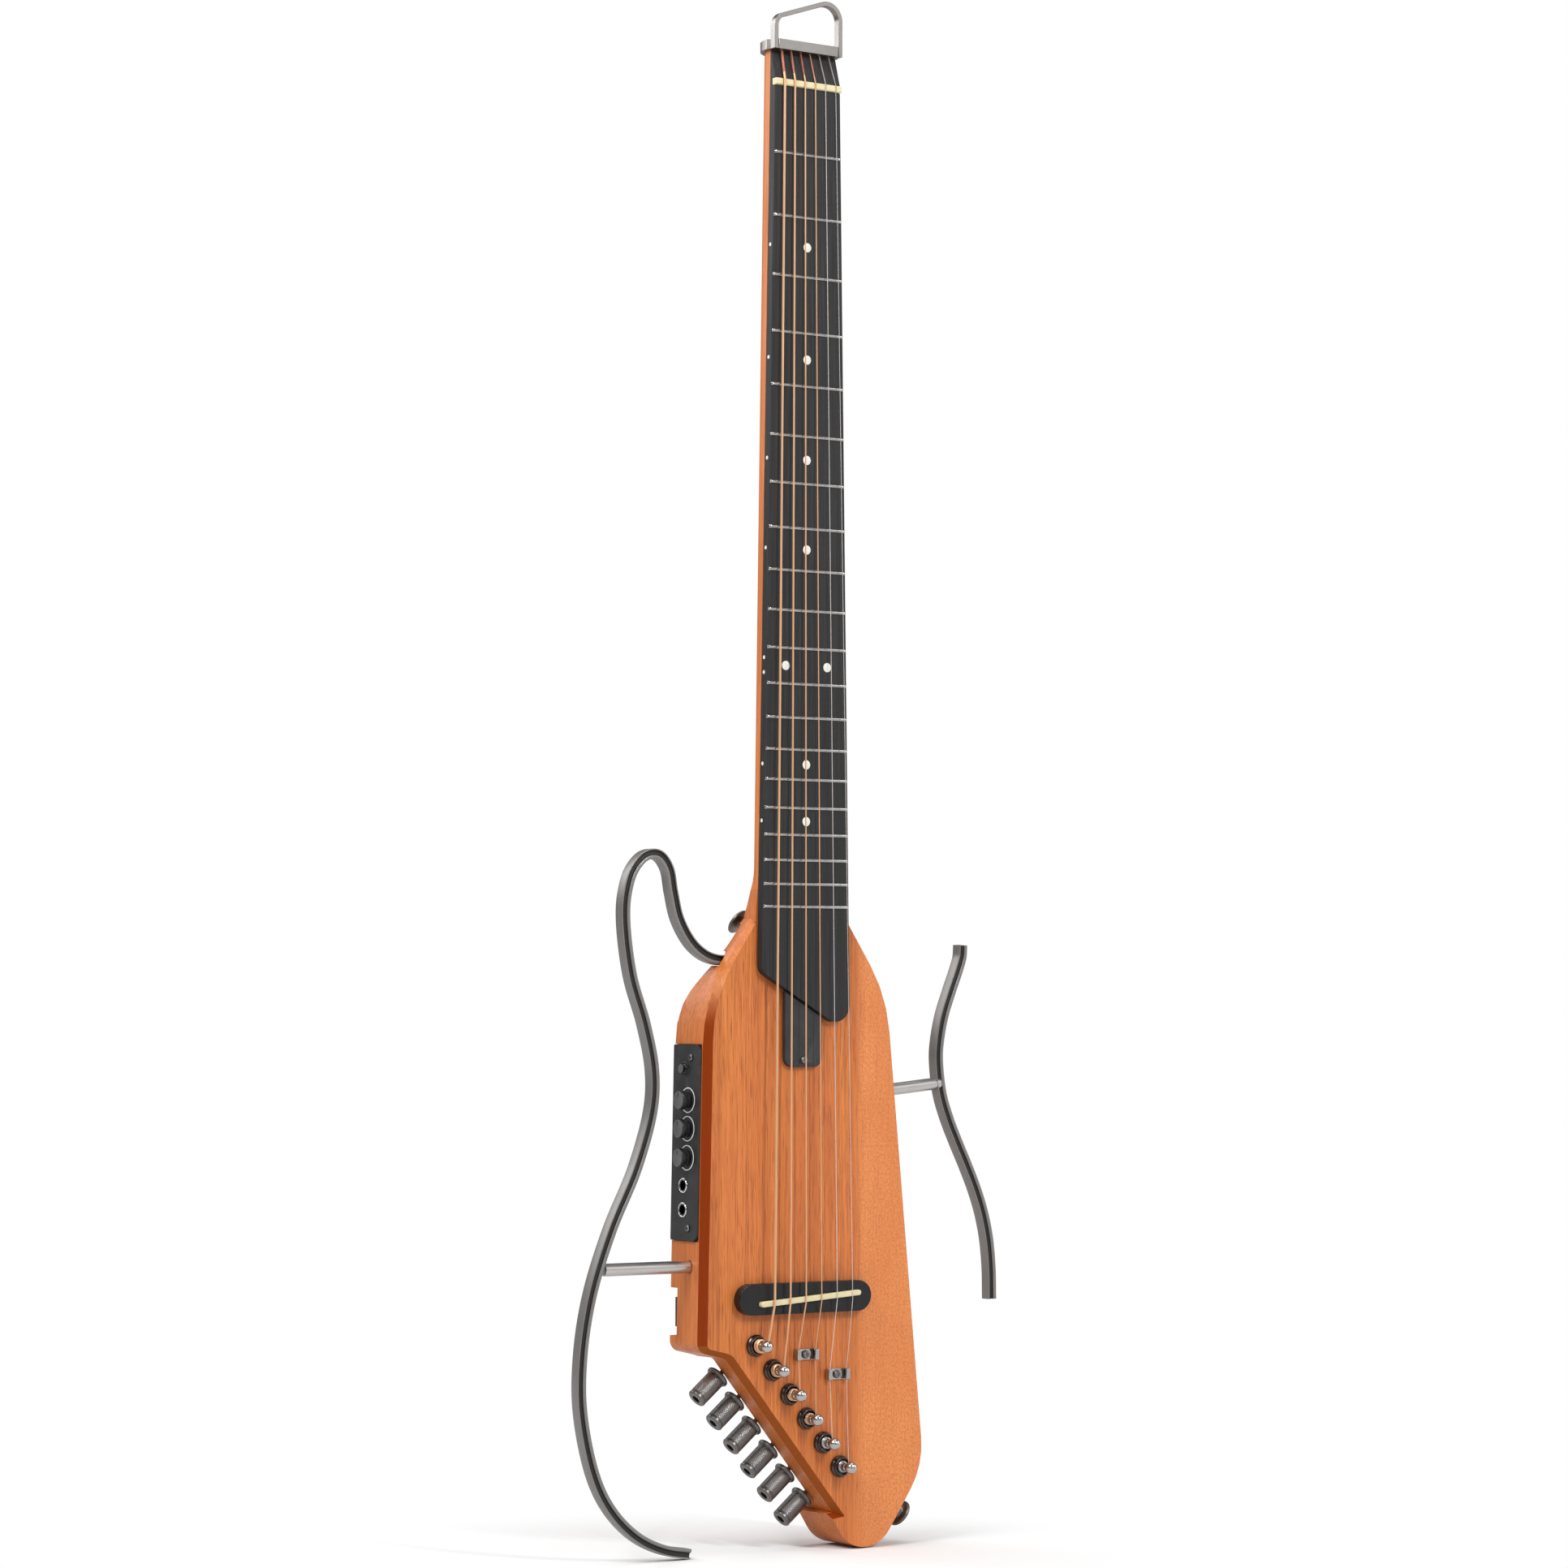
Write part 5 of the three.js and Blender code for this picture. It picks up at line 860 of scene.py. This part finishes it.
JACK_BACK, BUTTON_BACK, BUTTON_DROP, BUTTON_FACE_NEAR = 24, 24.5, 80.4, -3.9
for node_name, drop in (("aux_jack", 142.6), ("headphone_jack", 155.6)):
    inner = [(0, 6.4), (2.8, 6.4), (2.8, PANEL_FACE - 0.02), (3.2, PANEL_FACE - 0.02)]
    inner += [(3.2, PANEL_FACE - 0.4), (3.0, PANEL_FACE - 0.55), (2.7, PANEL_FACE - 0.55)]
    inner += [(2.5, PANEL_FACE - 0.3), (2.5, 5.6), (0, 5.6)]
    lathe(
        "look_" + node_name, rounded(inner, 0.12, 3), on_panel(JACK_BACK, drop, 0), PANEL_AXIS,
        DARK_METAL, "guitar", [node_name], sides=48,
    )
    ring = [(3.25, PANEL_FACE + 0.2), (3.25, PANEL_FACE - 0.45), (3.45, PANEL_FACE - 0.6)]
    ring += [(3.8, PANEL_FACE - 0.6), (4.05, PANEL_FACE - 0.3), (4.05, PANEL_FACE + 0.2)]
    ring += [(3.25, PANEL_FACE + 0.2)]
    lathe(
        "ring_" + node_name, rounded(ring, 0.1, 3), on_panel(JACK_BACK, drop, 0), PANEL_AXIS,
        BEZEL, "guitar", sides=64, slot="bright_steel",
    )

button = [(0, 2.2), (3.4, 2.2), (3.5, 1.3), (2.7, 1.25), (2.7, -1.6), (2.0, -2.0)]
button += [(2.0, -2.8), (2.5, -3.1), (2.5, -3.7), (2.2, -4.0), (0, -4.0)]
button_middle = on_panel(BUTTON_BACK, BUTTON_DROP, 0)
pressed = lathe(
    "look_push_button", rounded(button, 0.3, 4), button_middle, PANEL_AXIS, KNOB_BLACK,
    "push_button", ["push_button"], sides=48,
)
button_face = on_panel(BUTTON_BACK, BUTTON_DROP, BUTTON_FACE_NEAR)
# The button's end face gets the painted light
other_faces(pressed, KNOB_FACE_PAINTED_LIGHT, lambda point: (point - button_face).dot(PANEL_AXIS) < 0)
collar = [(2.95, PANEL_FACE + 0.3), (2.95, PANEL_FACE - 0.5), (3.7, PANEL_FACE - 0.5)]
collar += [(3.9, PANEL_FACE + 0.3), (2.95, PANEL_FACE + 0.3)]
lathe(
    "button_collar", rounded(collar, 0.15, 3), button_middle, PANEL_AXIS, DARK_METAL,
    "guitar", sides=48, slot="smoked_chrome",
)

# Strap button and end jack, placed by their outer faces' mounts
mounts = {m["name"]: m for m in frame["record"]["mounts"]}
strap = mounts["strap_button_face"]
profile = [(0, -19), (1.8, -19), (1.8, -9.7), (4.8, -9.7), (4.8, -8.4), (3.2, -5.4)]
profile += [(3.0, -3.6), (4.4, -2.4), (7.0, -2.0), (7.3, -1.5), (7.3, -0.8), (6.4, 0)]
profile += [(2.2, 0), (1.9, -0.5), (0, -0.5)]
lathe(
    "look_strap_button", rounded(profile, 0.5, 4), strap["pos_m"], strap["axis"],
    LOOKS["smoked_chrome"], "guitar", ["strap_button"], sides=72,
)

end_pin = mounts["end_pin_face"]
END_PIN_FORWARD = 5.3  # from the mount's place to the jack's axis
profile = [(0, -38.5), (6.2, -38.5), (6.2, -7.5), (4.8, -6.2), (4.8, -3), (7.2, -2)]
profile += [(7.5, -1.5), (7.5, -0.5), (7.0, 0), (3.6, 0), (3.2, -0.4), (3.2, -30), (0, -30)]
end_middle = Vector(end_pin["pos_m"]) - Vector((0, END_PIN_FORWARD * MM, 0))
lathe(
    "look_end_pin_jack", rounded(profile, 0.4, 4), end_middle, end_pin["axis"],
    LOOKS["smoked_chrome"], "guitar", ["end_pin_jack"], sides=72,
)

# Rods keep the CAD length with rounded ends
refined("left_rod", 0.4, ROD_METAL)
refined("right_rod", 0.4, ROD_METAL)

# Thread wraps where the strings leave the collar

COLLAR_X, COLLAR_Y, COLLAR_Z, COLLAR_SPREAD = -0.35, 2.1, 19.5, 31
NUT_X, NUT_Y, NUT_BACK, NUT_SPREAD = 0.7, -1.2, 3.6, 34
WRAP_SHARE, WRAP_LEAST, WRAP_STEPS = 0.78, 0.3, 56
STRING_RADII = [0.675, 0.535, 0.405, 0.305, 0.215, 0.165]
WRAP_COLOURS = ["red", "red", "red", "copper", "grey", "grey"]
for i, (radius, tint) in enumerate(zip(STRING_RADII, WRAP_COLOURS)):
    share = i / 5 - 0.5
    start = Vector((COLLAR_X + COLLAR_SPREAD * share, COLLAR_Y, COLLAR_Z))
    end = Vector((NUT_X + NUT_SPREAD * share, NUT_Y - radius, NUT_BACK))
    run = end - start
    tip = start + run * WRAP_SHARE
    length = (tip - start).length
    thick = max(radius + 0.02, WRAP_LEAST)
    wrap = [(radius * 0.6, 0)]
    for k in range(WRAP_STEPS + 1):
        wrap.append((thick * (0.86 + 0.14 * (k % 2)), length * k / WRAP_STEPS))
    wrap.append((radius * 0.6, length))
    lathe(
        f"silk_{i + 1}", wrap, at(*start), run, SILK[tint], "guitar",
        sides=14, slot="bronze", smooth=70,
    )

# Studio: white round about, soft light from the right front, the left and above


def area_light(name, place, target, width, height, power):
    data = bpy.data.lights.new(name, "AREA")
    data.shape = "RECTANGLE"
    data.size, data.size_y = width, height
    data.energy = power
    lamp = bpy.data.objects.new(name, data)
    lamp.location = place
    lamp.rotation_euler = (Vector(target) - Vector(place)).to_track_quat("-Z", "Y").to_euler()
    bpy.context.scene.collection.objects.link(lamp)
    lamp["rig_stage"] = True


scene = bpy.context.scene
scene.view_settings.view_transform = "Standard"
middle = Vector((0, 0, -0.45))
area_light("front_panel", (1.5, -2.1, 0.1), middle, 1.5, 2.2, 5)
area_light("right_side", (2.3, -1.25, 0.4), middle, 1.0, 2.0, 19)
area_light("left_side", (-1.8, -0.5, 1.4), middle, 1.0, 1.2, 46)
area_light("left_back", (-1.3, 2.0, 0.9), middle, 1.6, 1.5, 26)
area_light("key_right", (0.35, -2.3, 0.9), middle, 0.12, 0.9, 38)
area_light("key_left", (-2.2, -1.9, 0.7), middle, 0.15, 0.15, 10)
area_light("top", (0.1, 0.1, 1.5), (0.05, 0, -0.8), 1.6, 1.6, 18)

world = bpy.data.worlds.new("studio")
world.use_nodes = True
scene.world = world
tree = world.node_tree
tree.nodes.clear()
output = tree.nodes.new("ShaderNodeOutputWorld")
mixer = tree.nodes.new("ShaderNodeMixShader")
seen = tree.nodes.new("ShaderNodeBackground")
lit = tree.nodes.new("ShaderNodeBackground")
seen.inputs["Color"].default_value = (1, 1, 1, 1)
seen.inputs["Strength"].default_value = 1.0
lit.inputs["Color"].default_value = (0.87, 0.87, 0.87, 1)
lit.inputs["Strength"].default_value = 0.17
ray = tree.nodes.new("ShaderNodeLightPath")
tree.links.new(ray.outputs["Is Camera Ray"], mixer.inputs["Fac"])
tree.links.new(lit.outputs["Background"], mixer.inputs[1])
tree.links.new(seen.outputs["Background"], mixer.inputs[2])
tree.links.new(mixer.outputs["Shader"], output.inputs["Surface"])

# Pale floor that fades into the white round about
low_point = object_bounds()[0].z
FLOOR_REACH, FADE_START, FADE_END = 6.0, 0.06, 0.19
FLOOR_HEADING = math.radians(-34.5)
FLOOR_STRETCH = (0.8, 1.0, 1.0)  # the fade reaches further sideways
FLOOR_GAP = 0.3
floor_middle = Vector((-0.02, 0.035, low_point - FLOOR_GAP * MM))
mesh = bpy.data.meshes.new("floor")
corners = [(sx * FLOOR_REACH, sy * FLOOR_REACH, 0) for sx, sy in ((-1, -1), (1, -1), (1, 1), (-1, 1))]
mesh.from_pydata(corners, [], [(0, 1, 2, 3)])
floor = bpy.data.objects.new("floor", mesh)
floor.location = floor_middle
floor.rotation_euler = (0, 0, FLOOR_HEADING)
scene.collection.objects.link(floor)
floor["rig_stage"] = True
paper = Shader("floor")
direct = paper.node("LightPath").outputs["Is Camera Ray"]
paper.set(
    Base_Color=paper.mix(direct, srgb(214, 214, 214), srgb(230, 230, 230)),
    Roughness=0.75,
    Specular_IOR_Level=0.1,
)
stretched = paper.node("Mapping", {"Vector": paper.place, "Scale": FLOOR_STRETCH}).outputs["Vector"]
distance = paper.node("VectorMath", {0: stretched}, operation="LENGTH").outputs["Value"]
white = paper.node("Emission", {"Color": (1, 1, 1, 1), "Strength": 1.0})
fade = paper.node("MixShader")
paper.feed(fade.inputs[0], paper.sum("MULTIPLY", direct, paper.spread(distance, FADE_START, FADE_END)))
paper.feed(fade.inputs[1], paper.surface.outputs["BSDF"])
paper.feed(fade.inputs[2], white.outputs["Emission"])
paper_output = next(n for n in paper.tree.nodes if n.type == "OUTPUT_MATERIAL")
paper.feed(paper_output.inputs["Surface"], fade.outputs["Shader"])
mesh.materials.append(paper.material)

# Camera solved from the frets in the photo
FOCAL_PIXELS, PHOTO_PIXELS = 5441.9, 1932
camera_data = bpy.data.cameras.new("camera")
camera_data.sensor_width = 36
camera_data.lens = 36 * FOCAL_PIXELS / PHOTO_PIXELS
camera_data.clip_start, camera_data.clip_end = 0.05, 30
camera = bpy.data.objects.new("camera", camera_data)
right = Vector((0.8244319, -0.56595657, 0.00228302))
up = Vector((-0.02941545, -0.03882053, 0.99881314))
back = Vector((-0.56519623, -0.82352057, -0.04865275))
turn = Matrix((right, up, back)).transposed().to_4x4()
camera.matrix_world = Matrix.Translation(at(-1358.53, -1958.13, -495.06)) @ turn
scene.collection.objects.link(camera)
scene.camera = camera
